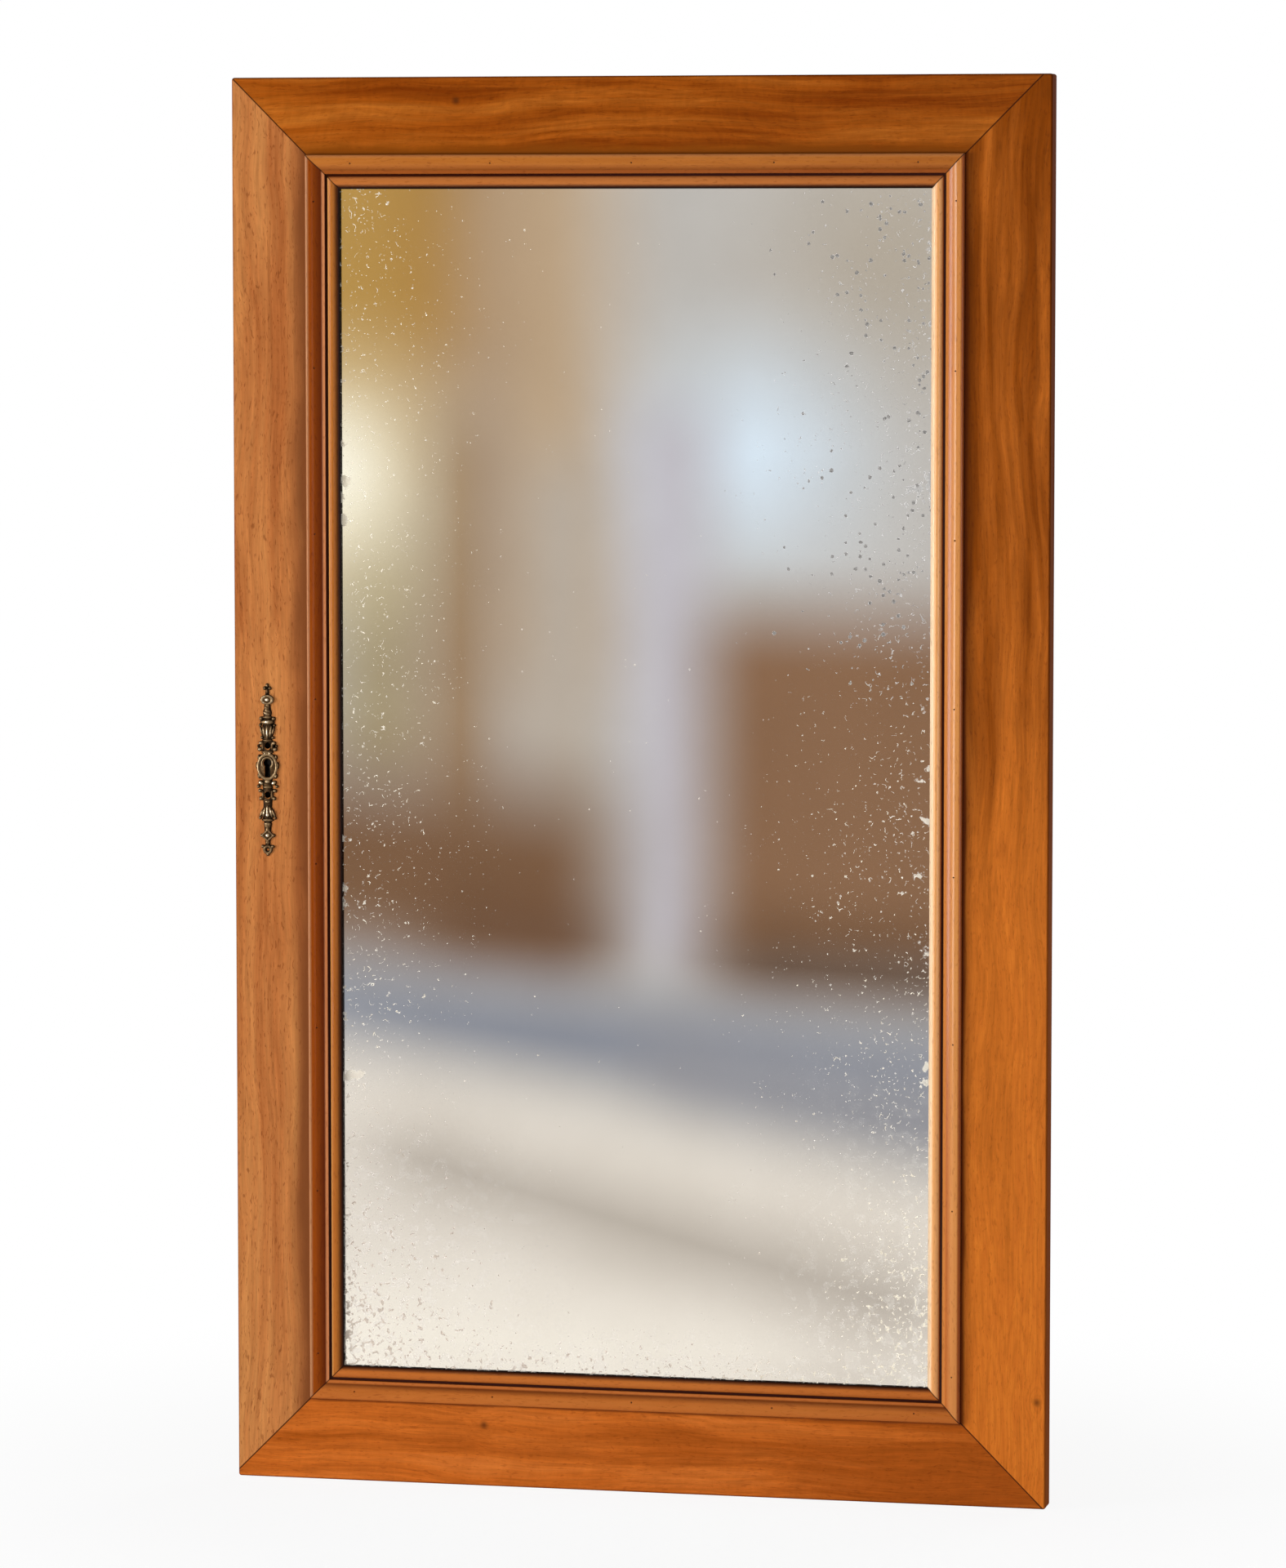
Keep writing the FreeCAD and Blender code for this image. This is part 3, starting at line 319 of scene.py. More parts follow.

# %% Stiles and rails
# Tones and ends partly paint light and shade; the width in mm and the colour after the offset are those of
# the painted shade beside the moulding.
member("left_stile", GRAIN_UP, ("#c07f46", "#b6723d", "#a25d2e"), (310, 40, 0), 20.0, "#74401f", flecks=0.45,
       lines=0.1)
member("right_stile", GRAIN_UP, ("#cf7124", "#bb651e", "#823d03"), (905, 80, 150), 4.0, "#5a2202",
       ends=(0.42, -0.38), streak=22.0, spread=0.42, lines=0.13, knot=(391.5, -12, 103))
member("top_rail", GRAIN_LEVEL, ("#b0621c", "#984b0c", "#783201"), (40, 120, 60), 12.0, "#824208",
       ends=(0.05, -0.12), ripple=0.16, knot=(-177, -12, 1341))
member("bottom_rail", GRAIN_LEVEL, ("#ca702c", "#bc621f", "#a04e12"), (700, 20, 400), 3.0, "#7a3a12",
       ends=(0.06, -0.16), lines=0.2, ripple=0.1, knot=(-152, -12, 60))

# %% [markdown]
# ## The moulding
# The moulding is the same wood, run with a shaped plane and handled more, so it is redder and shinier.
# The quirk, the narrow groove beside the bead, is dark with painted shade. A colour ramp across the profile
# paints light and shade: painted highlights on the lip, the raised edges and the bead, painted shade in the
# hollows and on the sight edge against the glass. Each length has its own ramp, darker on the slopes turned
# away from the lamp on the left and lighter on those that face it, and on the right length the sight edge is
# painted pale.

# %% Four lengths of moulding
PALE_GRAIN = ("#ffffff", "#faf3ec", "#e6d4c2")
QUIRK_SHADE = "#300c04"


def planted_moulding(name, turn, offset, rim, lip, ogee, hollow, edge, corner, bead, foot, sight, polish):
    """Grain in pale tones, with painted light and shade across the profile from the outer lip to the sight
    edge at the glass.
    """
    # To the eye: the frame's wood again, drawn in narrow bands of light and dark, with a soft gleam.
    finish = "waxed_fruitwood_" + name
    material, tree, shader, mm, colour = fruitwood(finish, turn, PALE_GRAIN, offset, spread=0.5)
    away, off_mitre = outside(tree, mm, OPEN_LEFT, OPEN_RIGHT, OPEN_LOW, OPEN_HIGH)
    across = add(tree, "MapRange", {0: away, 1: MOULD_OUTER, 2: -MOULD_INNER})
    # The ramp paints light and shade across the profile, from the lip to the sight edge, with painted shade
    # in the quirk.
    tint = add(tree, "ValToRGB", {0: across}, stops=[
        (0.0, rim), (0.02, lip), (0.07, lip), (0.13, ogee), (0.3, ogee), (0.45, hollow),
        (0.495, edge), (0.55, edge), (0.575, QUIRK_SHADE), (0.635, QUIRK_SHADE), (0.65, corner),
        (0.7, bead), (0.85, bead), (0.93, foot), (0.97, sight), (1.0, sight)])
    colour = add(tree, "Mix", {0: 1.0, 6: colour, 7: tint}, data_type="RGBA", blend_type="MULTIPLY")
    joint = add(tree, "MapRange", {0: off_mitre, 1: 1.1, 2: 0.4, 3: 0.0, 4: 0.85}, **SMOOTH)
    colour = add(tree, "Mix", {0: joint, 6: colour, 7: linear(MITRE_DARK)}, data_type="RGBA")
    tree.links.remove(shader.inputs["Roughness"].links[0])
    feed(tree, shader, {"Base Color": colour, "Roughness": 0.17, "Specular IOR Level": polish})
    dress(material, name)


# The left length is painted dark on its slopes, the right one has painted highlights on its ogee and bead and
# a pale sight edge, and the top and bottom lie between.
planted_moulding("moulding_left", GRAIN_UP, (500, 0, 0), rim="#8a4a24", lip="#ac7852", ogee="#964608",
                 hollow="#682804", edge="#c48054", corner="#d89c5c", bead="#ac682a", foot="#4e240c",
                 sight="#1c0f0a", polish=0.06)
planted_moulding("moulding_right", GRAIN_UP, (1500, 0, 300), rim="#4a1a02", lip="#944a14", ogee="#cf8c4c",
                 hollow="#b46224", edge="#d88840", corner="#a85018", bead="#e2a264", foot="#f8dab6",
                 sight="#eccfac", polish=0.16)
planted_moulding("moulding_top", GRAIN_LEVEL, (0, 0, 700), rim="#7a4416", lip="#b0703a", ogee="#b46e2c",
                 hollow="#884a1a", edge="#9a5220", corner="#a86030", bead="#b66c32", foot="#4a2410",
                 sight="#1c0f0a", polish=0.12)
planted_moulding("moulding_bottom", GRAIN_LEVEL, (90, 0, 1200), rim="#7a3c14", lip="#b86a2c", ogee="#bc6e30",
                 hollow="#6c3614", edge="#b86a30", corner="#b4662c", bead="#bc6c2e", foot="#5a2c10",
                 sight="#1c0f0a", polish=0.08)

# %% [markdown]
# ## The silvering
# Behind the glass lies a film of silver under varnish. Damp has eaten it from the edges inwards: where the
# film is gone, light scatters on a dull pale crust, so the spots look pale against a dark reflection and
# dark against a bright one. Each spot is a matt patch in a mirror: Metallic and Roughness both follow one
# mask. It starts with a map of where the damp came in, made of soft zones, so that the spots can crowd
# there.

# %% Where damp reached the silver
# To the eye: a bright mirror that dies away in pale and dark specks towards its edges.
material, tree, shader, mm = new_finish("silvered_film_foxed")
spot = add(tree, "SeparateXYZ", {0: mm})
SIGHT_LEFT = 1000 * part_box("moulding_left")[1].x
SIGHT_RIGHT = 1000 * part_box("moulding_right")[0].x
SIGHT_LOW = 1000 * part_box("moulding_bottom")[1].z
# The axis, where the damp is at its most and where it ends in millimetres, and how much there is.
damp = {}
for name, axis, full, none, most in (
        ("left", "X", SIGHT_LEFT, -110.0, 1.0), ("right", "X", SIGHT_RIGHT, 50.0, 1.0),
        ("foot", "Z", SIGHT_LOW, 190.0, 0.9), ("sill", "Z", SIGHT_LOW, 165.0, 0.75)):
    damp[name] = add(tree, "MapRange", {0: spot.outputs[axis], 1: full, 2: none, 3: most, 4: 0.0})
# Patches that fade both ways: heights and places across, each from full to none, and how much there is.
for name, heights, places, most in (
        ("upper right", (860, 780), (265, 120), 1.0), ("low left", (130, 390), (-285, -50), 1.0),
        ("low right", (170, 430), (SIGHT_RIGHT, 120), 0.95), ("clear", (740, 640), (60, 20), 0.75),
        ("stained", (800, 740), (90, 30), 1.0), ("tan", (330, 430), (40, 190), 1.0)):
    up = add(tree, "MapRange", {0: spot.outputs["Z"], 1: heights[0], 2: heights[1], 3: most, 4: 0.0})
    across = add(tree, "MapRange", {0: spot.outputs["X"], 1: places[0], 2: places[1], 3: 1.0, 4: 0.0})
    damp[name] = add(tree, "Math", {0: up, 1: across}, operation="MULTIPLY")
edges = add(tree, "Math", {0: damp["left"], 1: damp["right"]}, operation="MAXIMUM")
edges = add(tree, "Math", {0: edges, 1: damp["foot"]}, operation="MAXIMUM")
corners = add(tree, "Math", {0: damp["low left"], 1: damp["low right"]}, operation="MAXIMUM")
corners = add(tree, "Math", {0: corners, 1: damp["sill"]}, operation="MAXIMUM")
patchy = add(tree, "TexNoise", {"Vector": mm, "Scale": 1 / 45, "Detail": 3.0})
decay = add(tree, "Math", {0: patchy, 1: 1.6, 2: edges}, operation="MULTIPLY_ADD")
decay = add(tree, "MapRange", {0: decay, 1: 0.8, 2: 1.8, 3: 0.0, 4: 1.0})
print("damp in", len(damp), "zones, over a pane from x %.0f to %.0f mm" % (SIGHT_LEFT, SIGHT_RIGHT))

# %% [markdown]
# ## Pale dots and worm tracks
# The crust starts as pinholes that lie along old wiping marks, like beads on a thread, and some grow
# together into short worm tracks. The dots are Voronoi cells 3 mm apart, of which a few are taken by lot,
# the more the damper it is. The tracks are the middle line of a noise, broken up by another one.

# %% Dots in chains
thread = add(tree, "TexNoise", {"Vector": mm, "Scale": 1 / 22, "Detail": 2.0})
strung = add(tree, "Math", {0: thread, 1: 5.0}, operation="MULTIPLY")
strung = add(tree, "Math", {0: strung, 1: 0.5}, operation="PINGPONG")
strung = add(tree, "MapRange", {0: strung, 1: 0.04, 2: 0.12, 3: 0.9, 4: 0.11})
cells = add(tree, "TexVoronoi", {"Vector": mm, "Scale": 1 / 3.0})
lot = add(tree, "SeparateColor", {0: cells.outputs["Color"]})
thin = add(tree, "Math", {0: 1.0, 1: damp["clear"]}, operation="SUBTRACT")
chance = add(tree, "Math", {0: decay, 1: strung}, operation="MULTIPLY")
chance = add(tree, "Math", {0: chance, 1: thin}, operation="MULTIPLY")
taken = add(tree, "Math", {0: lot.outputs[0], 1: chance}, operation="LESS_THAN")
radius = add(tree, "Math", {0: lot.outputs[1], 1: 5.0}, operation="POWER")
radius = add(tree, "Math", {0: radius, 1: 0.34, 2: 0.15}, operation="MULTIPLY_ADD")
dot = add(tree, "Math", {0: radius, 1: cells.outputs["Distance"]}, operation="SUBTRACT")
dot = add(tree, "MapRange", {0: dot, 1: -0.06, 2: 0.06})
dots = add(tree, "Math", {0: dot, 1: taken}, operation="MULTIPLY")
print("pale dots of 0.9 to 2.9 mm")

# %% Worm tracks
wander = add(tree, "TexNoise", {"Vector": mm, "Scale": 1 / 8, "Detail": 1.5})
middle = add(tree, "Math", {0: wander, 1: 0.5, 2: 0.018}, operation="COMPARE")
broken = add(tree, "TexNoise", {"Vector": mm, "Scale": 1 / 5, "Detail": 1.0})
reach = add(tree, "MapRange", {0: decay, 1: 0.0, 2: 1.0, 3: 0.8, 4: 0.55})
broken = add(tree, "Math", {0: broken, 1: reach}, operation="GREATER_THAN")
tracks = add(tree, "Math", {0: middle, 1: broken}, operation="MULTIPLY")
pale = add(tree, "Math", {0: dots, 1: tracks}, operation="MAXIMUM")
faint = add(tree, "MapRange", {0: lot.outputs[2], 3: 0.25, 4: 0.75})
pale = add(tree, "Math", {0: pale, 1: faint}, operation="MULTIPLY")
print("tracks where a noise of 8 mm crosses its middle")

# %% [markdown]
# ## Dark spots, crystals and ragged edges
# On the upper right the backing has burnt through in crumbly dark spots. In the lower corners salts have
# grown into needles, with faint blots between them. Along the moulding whole flakes of silver are gone.
# Each is one more mask, and the largest of all masks says how much of the silver is lost.

# %% Crumbly dark spots
cells = add(tree, "TexVoronoi", {"Vector": mm, "Scale": 1 / 4.6})
lot = add(tree, "SeparateColor", {0: cells.outputs["Color"]})
crowd = add(tree, "TexNoise", {"Vector": mm, "Scale": 1 / 38, "Detail": 2.0})
crowd = add(tree, "MapRange", {0: crowd, 1: 0.42, 2: 0.62, 3: 0.03, 4: 0.6})
chance = add(tree, "Math", {0: crowd, 1: damp["upper right"]}, operation="MULTIPLY")
taken = add(tree, "Math", {0: lot.outputs[0], 1: chance}, operation="LESS_THAN")
radius = add(tree, "Math", {0: lot.outputs[1], 1: 3.0}, operation="POWER")
radius = add(tree, "Math", {0: radius, 1: 0.34, 2: -0.12}, operation="MULTIPLY_ADD")
crumble = add(tree, "TexNoise", {"Vector": mm, "Scale": 1 / 2.2, "Detail": 2.0})
radius = add(tree, "Math", {0: crumble, 1: 0.5, 2: radius}, operation="MULTIPLY_ADD")
dot = add(tree, "Math", {0: radius, 1: cells.outputs["Distance"]}, operation="SUBTRACT")
dot = add(tree, "MapRange", {0: dot, 1: -0.05, 2: 0.05, 3: 0.0, 4: 0.85})
dark = add(tree, "Math", {0: dot, 1: taken}, operation="MULTIPLY")
print("dark spots in cells of 4.6 mm")

# %% Needles and blots
warp = add(tree, "TexNoise", {"Vector": mm, "Scale": 1 / 12, "Detail": 2.0})
warped = add(tree, "VectorMath", {0: warp.outputs["Color"], 1: (9, 9, 9), 2: mm}, operation="MULTIPLY_ADD")
needles = add(tree, "TexVoronoi", {"Vector": warped, "Scale": 1 / 11}, feature="DISTANCE_TO_EDGE")
needles = add(tree, "MapRange", {0: needles, 1: 0.1, 2: 0.04, 3: 0.0, 4: 0.68})
open_up = add(tree, "MapRange", {0: corners, 1: 0.0, 2: 1.0, 3: 0.8, 4: 0.47})
parted = add(tree, "TexNoise", {"Vector": mm, "Scale": 1 / 5.5, "Detail": 1.0})
grown = add(tree, "Math", {0: parted, 1: open_up}, operation="GREATER_THAN")
needles = add(tree, "Math", {0: needles, 1: grown}, operation="MULTIPLY")
blots = add(tree, "TexNoise", {"Vector": warped, "Scale": 1 / 13, "Detail": 2.5})
blots = add(tree, "MapRange", {0: blots, 1: 0.53, 2: 0.57, 3: 0.0, 4: 0.2})
blots = add(tree, "Math", {0: blots, 1: corners}, operation="MULTIPLY")
crystals = add(tree, "Math", {0: needles, 1: blots}, operation="MAXIMUM")
print("needles along cells of 11 mm")

# %% Ragged edges, and all that is lost
ragged = add(tree, "TexNoise", {"Vector": mm, "Scale": 1 / 17, "Detail": 5.0, "Roughness": 0.6})
rim = add(tree, "MapRange", {0: edges, 1: 0.8, 2: 1.0, 3: 0.0, 4: 0.16})
# The middle of each worn place, its radius, and how much worse it is than the rest of the rim.
WORN_PLACES = (((-285, -5, 975), 60.0, 0.15), ((272, -5, 975), 50.0, 0.17), ((-290, -5, 395), 22.0, 0.2))
for place, size, most in WORN_PLACES:
    worn = add(tree, "VectorMath", {0: mm, 1: place}, operation="DISTANCE").outputs["Value"]
    worn = add(tree, "MapRange", {0: worn, 1: size, 2: 0.0, 3: 0.0, 4: most})
    ragged = add(tree, "Math", {0: ragged, 1: worn})
ragged = add(tree, "Math", {0: ragged, 1: rim})
lost = add(tree, "MapRange", {0: ragged, 1: 0.77, 2: 0.81, 3: 0.0, 4: 0.6})
for mask in (pale, dark, crystals):
    lost = add(tree, "Math", {0: lost, 1: mask}, operation="MAXIMUM")
print(len(WORN_PLACES), "worn places on the rim")

# %% [markdown]
# ## The crust and the haze
# What shows where the silver is lost depends on what is behind it: pale crust, tan varnish at the foot, or
# burnt backing on the upper right. The silver that is left is never perfectly clear, so a slow noise hazes
# it by a few hundredths.

# %% The crust and the haze
crust = add(tree, "Mix", {0: damp["stained"], 6: linear("#b4a98c"), 7: linear("#251d15")}, data_type="RGBA")
crust = add(tree, "Mix", {0: damp["tan"], 6: crust, 7: linear("#6b4a14")}, data_type="RGBA")
haze = add(tree, "TexNoise", {"Vector": mm, "Scale": 1 / 160, "Detail": 4.0})
haze = add(tree, "ValToRGB", {0: haze}, stops=[(0.3, "#f0efed"), (0.7, "#f8f8f7")])
colour = add(tree, "Mix", {0: lost, 6: haze, 7: crust}, data_type="RGBA")
metal = add(tree, "Math", {0: 1.0, 1: lost}, operation="SUBTRACT")
rough = add(tree, "MapRange", {0: lost, 3: 0.02, 4: 0.4})
feed(tree, shader, {"Base Color": colour, "Metallic": metal, "Roughness": rough})
dress(material, "mirror_silvering")

# %% [markdown]
# ## The keyhole plate
# The plate was cast in brass from a wax pattern and nailed on with two pins. The pattern is built here as
# the carver did it: balls, buds and ribs of wax pressed onto the flat one after the other. A voxel remesh
# melts them into one skin, a bisect cuts the back flat, and the keyhole and two little windows are cut
# through.

# %% Tools for the wax
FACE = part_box("left_stile")[0].y
KEYHOLE_HEIGHT = 0.702
KEYHOLE = Vector((sum(corner.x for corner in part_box("escutcheon")) / 2, FACE, KEYHOLE_HEIGHT))
wax = []


def lump(across, up, wide, tall, deep, lean=0):
    """A rounded lump of wax, half of it under the flat: place from the keyhole and half sizes in mm."""
    bpy.ops.mesh.primitive_uv_sphere_add(segments=20, ring_count=12, radius=0.001,
                                         rotation=(0, math.radians(lean), 0),
                                         location=KEYHOLE + Vector((across, 0, up)) / 1000)
    bpy.context.object.scale = (wide, deep, tall)
    wax.append(bpy.context.object)


def pair(across, up, wide, tall, deep, lean=0):
    """The same lump on both sides."""
    lump(across, up, wide, tall, deep, lean)
    lump(-across, up, wide, tall, deep, -lean)


def ring(up, wide, tall, wire, rise, corners=36):
    """A roll of wax bent into a ring, or into a lozenge with four corners, its middle above the flat."""
    bpy.ops.mesh.primitive_torus_add(major_radius=wide / 1000, minor_radius=wire / 1000,
                                     major_segments=corners, minor_segments=10,
                                     rotation=(math.radians(90), 0, 0),
                                     location=KEYHOLE + Vector((0, -rise, up)) / 1000)
    bpy.context.object.scale = (1, tall / wide, 1)
    wax.append(bpy.context.object)


print("keyhole at", [round(1000 * c, 1) for c in KEYHOLE], "mm")

# %% [markdown]
# ## Pressing the wax on
# From the top down: a bud on a ring, a twisted stem, a crown of leaves, the shield round the keyhole, and
# the same again turned over below it, ending in a lozenge and a ring. Modelling each leaf by hand would
# take as long as carving it. Overlapping balls melt into nearly the same shapes.

# %% Wax above the keyhole
bpy.ops.object.select_all(action="DESELECT")
lump(0, 75.6, 1.9, 2.1, 2.4)
pair(2.7, 72.8, 1.8, 1.8, 2.2)
lump(0, 69.8, 1.7, 3.2, 1.9)
ring(61.6, 5.1, 3.7, 1.8, 0.9)
lump(0, 61.6, 5.4, 4.2, 2.0)
for turn in range(4):
    lump(0.5 - turn % 2, 56.2 - 2.7 * turn, 2.6 + 0.6 * turn, 1.8, 2.2 + 0.2 * turn, 25)
lump(0, 49.0, 4.6, 5.6, 1.8)
lump(0, 54.6, 2.8, 4.0, 1.8)
pair(6.4, 43.2, 2.1, 2.1, 2.4)
lump(0, 44.6, 5.4, 1.8, 2.4)
lump(0, 39.8, 7.6, 2.8, 2.7)
lump(0, 40.0, 3.2, 1.9, 3.4)
pair(7.2, 36.8, 1.7, 1.6, 2.1)

lump(0, 30.0, 6.2, 8.0, 1.8)
lump(0, 29.6, 1.4, 7.6, 3.2)
pair(3.4, 30.6, 1.3, 6.6, 2.8, 8)
pair(6.0, 31.4, 1.3, 5.0, 2.4, 14)
pair(5.6, 24.8, 1.7, 1.6, 2.5)
lump(0, 22.0, 5.6, 1.4, 2.3)
pair(4.7, 16.4, 1.4, 5.4, 2.0)
pair(6.5, 19.4, 2.3, 2.1, 2.8)
pair(7.8, 13.4, 2.4, 2.2, 2.9)
pair(9.2, 16.6, 1.4, 1.5, 2.0)
lump(0, 10.6, 6.4, 1.6, 2.4)
print(len(wax), "lumps above the keyhole")

# %% Wax round and below the keyhole
lump(0, -3.6, 10.4, 13.4, 2.0)
ring(-3.6, 9.2, 12.0, 1.4, 1.2)
ring(0, 5.4, 5.4, 0.8, 1.7)
pair(2.4, 9.4, 1.5, 1.4, 3.0)
pair(10.6, -2.4, 1.3, 3.4, 2.2)
pair(8.8, 6.0, 1.4, 2.4, 2.5, -20)
pair(8.6, -13.0, 1.5, 2.6, 2.5, 25)

pair(6.4, -19.4, 3.2, 2.3, 3.1, -30)
pair(9.2, -22.8, 1.8, 1.8, 2.5)
lump(0, -18.2, 3.4, 2.2, 3.0)
lump(0, -23.6, 5.4, 1.8, 2.4)
pair(4.6, -31.2, 1.4, 5.4, 2.0)
pair(7.4, -27.0, 2.2, 1.9, 2.7)
pair(6.6, -34.6, 2.1, 2.0, 2.7)
lump(0, -37.8, 3.2, 1.7, 2.6)

lump(0, -47.5, 5.6, 7.6, 1.8)
lump(0, -46.6, 1.5, 6.6, 3.2)
pair(3.3, -47.6, 1.4, 6.6, 2.9, -14)
pair(6.1, -49.0, 1.4, 5.2, 2.5, -22)
lump(0, -50.6, 2.2, 2.6, 3.5)
pair(7.6, -53.6, 1.6, 1.7, 2.4)
lump(0, -55.6, 6.4, 1.8, 2.5)
lump(0, -59.4, 4.4, 2.0, 2.7)
lump(0, -61.4, 4.0, 3.0, 2.2)
lump(0, -65.2, 2.6, 2.8, 2.1)
ring(-70.6, 5.6, 5.2, 1.6, 0.8, corners=4)
lump(0, -70.6, 4.6, 4.2, 2.0)
pair(6.0, -70.6, 1.7, 1.7, 2.4)
lump(0, -77.4, 2.6, 2.6, 2.3)
pair(5.0, -81.4, 1.9, 1.7, 2.4)
ring(-84.4, 3.4, 3.2, 1.6, 0.6)
lump(0, -88.8, 1.7, 2.0, 2.4)
lump(0, -7.0, 5.0, 84.0, 1.5)
print(len(wax), "lumps of wax")

# %% [markdown]
# ## From wax to casting
# The lumps are joined into one mesh. A voxel remesh of 0.3 mm takes the place of melting, and two rounds of
# smoothing take the place of the file. The bisect cuts off all that lies under the wood's face. Cylinders
# and a block then cut the keyhole, the windows and the eye at the foot.

# %% Melt and flatten
VOXEL = 0.0003
for soft in wax:
    soft.select_set(True)
bpy.context.view_layer.objects.active = wax[0]
bpy.ops.object.join()
bpy.ops.object.transform_apply(location=True, rotation=True, scale=True)
plate = bpy.context.object
plate.name = "cast_escutcheon"
melt = plate.modifiers.new("melt", "REMESH")
melt.voxel_size = VOXEL
bpy.ops.object.modifier_apply(modifier=melt.name)
smooth = plate.modifiers.new("smooth", "SMOOTH")
smooth.iterations = 2
bpy.ops.object.modifier_apply(modifier=smooth.name)
bpy.ops.object.mode_set(mode="EDIT")
bpy.ops.mesh.select_all(action="SELECT")
bpy.ops.mesh.bisect(plane_co=(0, FACE, 0), plane_no=(0, 1, 0), use_fill=True, clear_outer=True)
bpy.ops.object.mode_set(mode="OBJECT")
print("flat casting of", len(plate.data.polygons), "faces")

# %% Pierce
THROUGH = 0.02
SLOT_WIDE, SLOT_TALL = 0.006, 0.014


def pierce(cutter):
    """Cut a hole through the plate with the active cutter, and put the cutter away."""
    cut = plate.modifiers.new("pierce", "BOOLEAN")
    cut.object = cutter
    bpy.context.view_layer.objects.active = plate
    bpy.ops.object.modifier_apply(modifier=cut.name)
    bpy.data.objects.remove(cutter)


# Each round hole: its height from the keyhole, and its half width and half height in millimetres.
for up, wide, tall in ((0, 4.2, 4.2), (16.4, 3.2, 4.0), (-31.4, 3.2, 3.8), (-84.4, 1.2, 1.2)):
    bpy.ops.mesh.primitive_cylinder_add(vertices=32, radius=0.001, depth=THROUGH,
                                        rotation=(math.radians(90), 0, 0),
                                        location=KEYHOLE + Vector((0, 0, up)) / 1000)
    bpy.context.object.scale = (wide, tall, 1)
    pierce(bpy.context.object)
bpy.ops.mesh.primitive_cube_add(size=1, location=KEYHOLE - Vector((0, 0, SLOT_TALL / 2)))
bpy.context.object.scale = (SLOT_WIDE, THROUGH, SLOT_TALL)
pierce(bpy.context.object)
plate.select_set(True)
bpy.ops.object.shade_smooth_by_angle(angle=math.radians(50))
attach(plate, "frame")
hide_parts("escutcheon")
print("casting", [round(1000 * side, 1) for side in plate.dimensions], "mm")

# %% [markdown]
# ## Dark brass, rubbed bright
# Old polish and soot lie brown in the hollows, and only what fingers reach is bright. The height above the
# wood is the object's own Y, so a ramp from the flat to the tops gives both tones, broken up by a fine
# noise.

# %% The plate's finish
# To the eye: nearly black hollows and dull gold tops, so that the small relief reads from afar.
HOLLOW, TOP = "#1f160e", "#eaddc4"
material, tree, shader, mm = new_finish("cast_brass_dark_rubbed")
height = add(tree, "SeparateXYZ", {0: mm}).outputs["Y"]
height = add(tree, "MapRange", {0: height, 1: 1000 * FACE - 0.4, 2: 1000 * FACE - 3.4, 3: -0.35, 4: 0.65})
soot_and_shade = add(tree, "TexNoise", {"Vector": mm, "Scale": 1 / 2.5, "Detail": 4.0, "Roughness": 0.7})
height = add(tree, "Math", {0: soot_and_shade, 1: 0.7, 2: height}, operation="MULTIPLY_ADD")
tones = [(0.2, HOLLOW), (0.48, "#543f29"), (0.75, "#90795a"), (0.95, TOP)]
colour = add(tree, "ValToRGB", {0: height}, stops=tones)
rough = add(tree, "MapRange", {0: height, 1: 0.2, 2: 1.0, 3: 0.55, 4: 0.28})
feed(tree, shader, {"Base Color": colour, "Roughness": rough, "Metallic": 1.0})
plate.data.materials.append(material)
nodes["escutcheon_pins"].material_slots[0].material = material
print("brass from", HOLLOW, "in the hollows to", TOP, "on the tops")

# %% [markdown]
# ## The pane
# The glass is an old polished sheet with ground edges. It is modelled again here, a hair thinner than its
# solid, so that a ray leaves the glass before it meets the silver: two faces in the same place would fight
# over the ray. The block is given its ground edges with a bevel. Lamps shine through it by a Light Path
# switch.

# %% A pane with ground edges
low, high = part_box("mirror_glass")
FILM_GAP = 0.00002
GROUND_EDGE = 0.0006
bpy.ops.object.select_all(action="DESELECT")
bpy.ops.mesh.primitive_cube_add(size=1)
pane = bpy.context.object
pane.name = "ground_pane"
pane.dimensions = high - low - Vector((0, FILM_GAP, 0))
pane.location = (low + high - Vector((0, FILM_GAP, 0))) / 2
bpy.ops.object.transform_apply(location=True, rotation=True, scale=True)
edge = pane.modifiers.new("ground_edge", "BEVEL")
edge.width = GROUND_EDGE
edge.segments = 2
bpy.ops.object.modifier_apply(modifier=edge.name)
print("pane", [round(1000 * side, 2) for side in pane.dimensions], "mm")

# %% Old sheet glass
# To the eye: a clear depth in front of the silver, and reflections that bend a little.
material, tree, shader, mm = new_finish("polished_sheet_glass")
waves = add(tree, "TexNoise", {"Vector": mm, "Scale": 1 / 130, "Detail": 1.0})
bump = add(tree, "Bump", {"Height": waves, "Strength": 0.15, "Distance": 0.0004})
feed(tree, shader, {"Base Color": linear("#fefefe"), "Transmission Weight": 1.0, "Roughness": 0.0,
                    "IOR": 1.5, "Normal": bump})
light = add(tree, "LightPath")
clear = add(tree, "BsdfTransparent")
through = add(tree, "MixShader", {0: light.outputs["Is Shadow Ray"], 1: shader, 2: clear})
feed(tree, tree.nodes["Material Output"], {"Surface": through})
pane.data.materials.append(material)
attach(pane, "frame")
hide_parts("mirror_glass")
print(material.name, "on", pane.name)

# %% [markdown]
# ## Pine and oak
# The back was never meant to be seen: rough pine boards, split pine blocks and riven oak pegs, left bare
# and grown dull. One recipe serves them all, with the width of the growth rings given in millimetres. Dust
# has settled in the seams, which is a dark line round each piece's own outline.

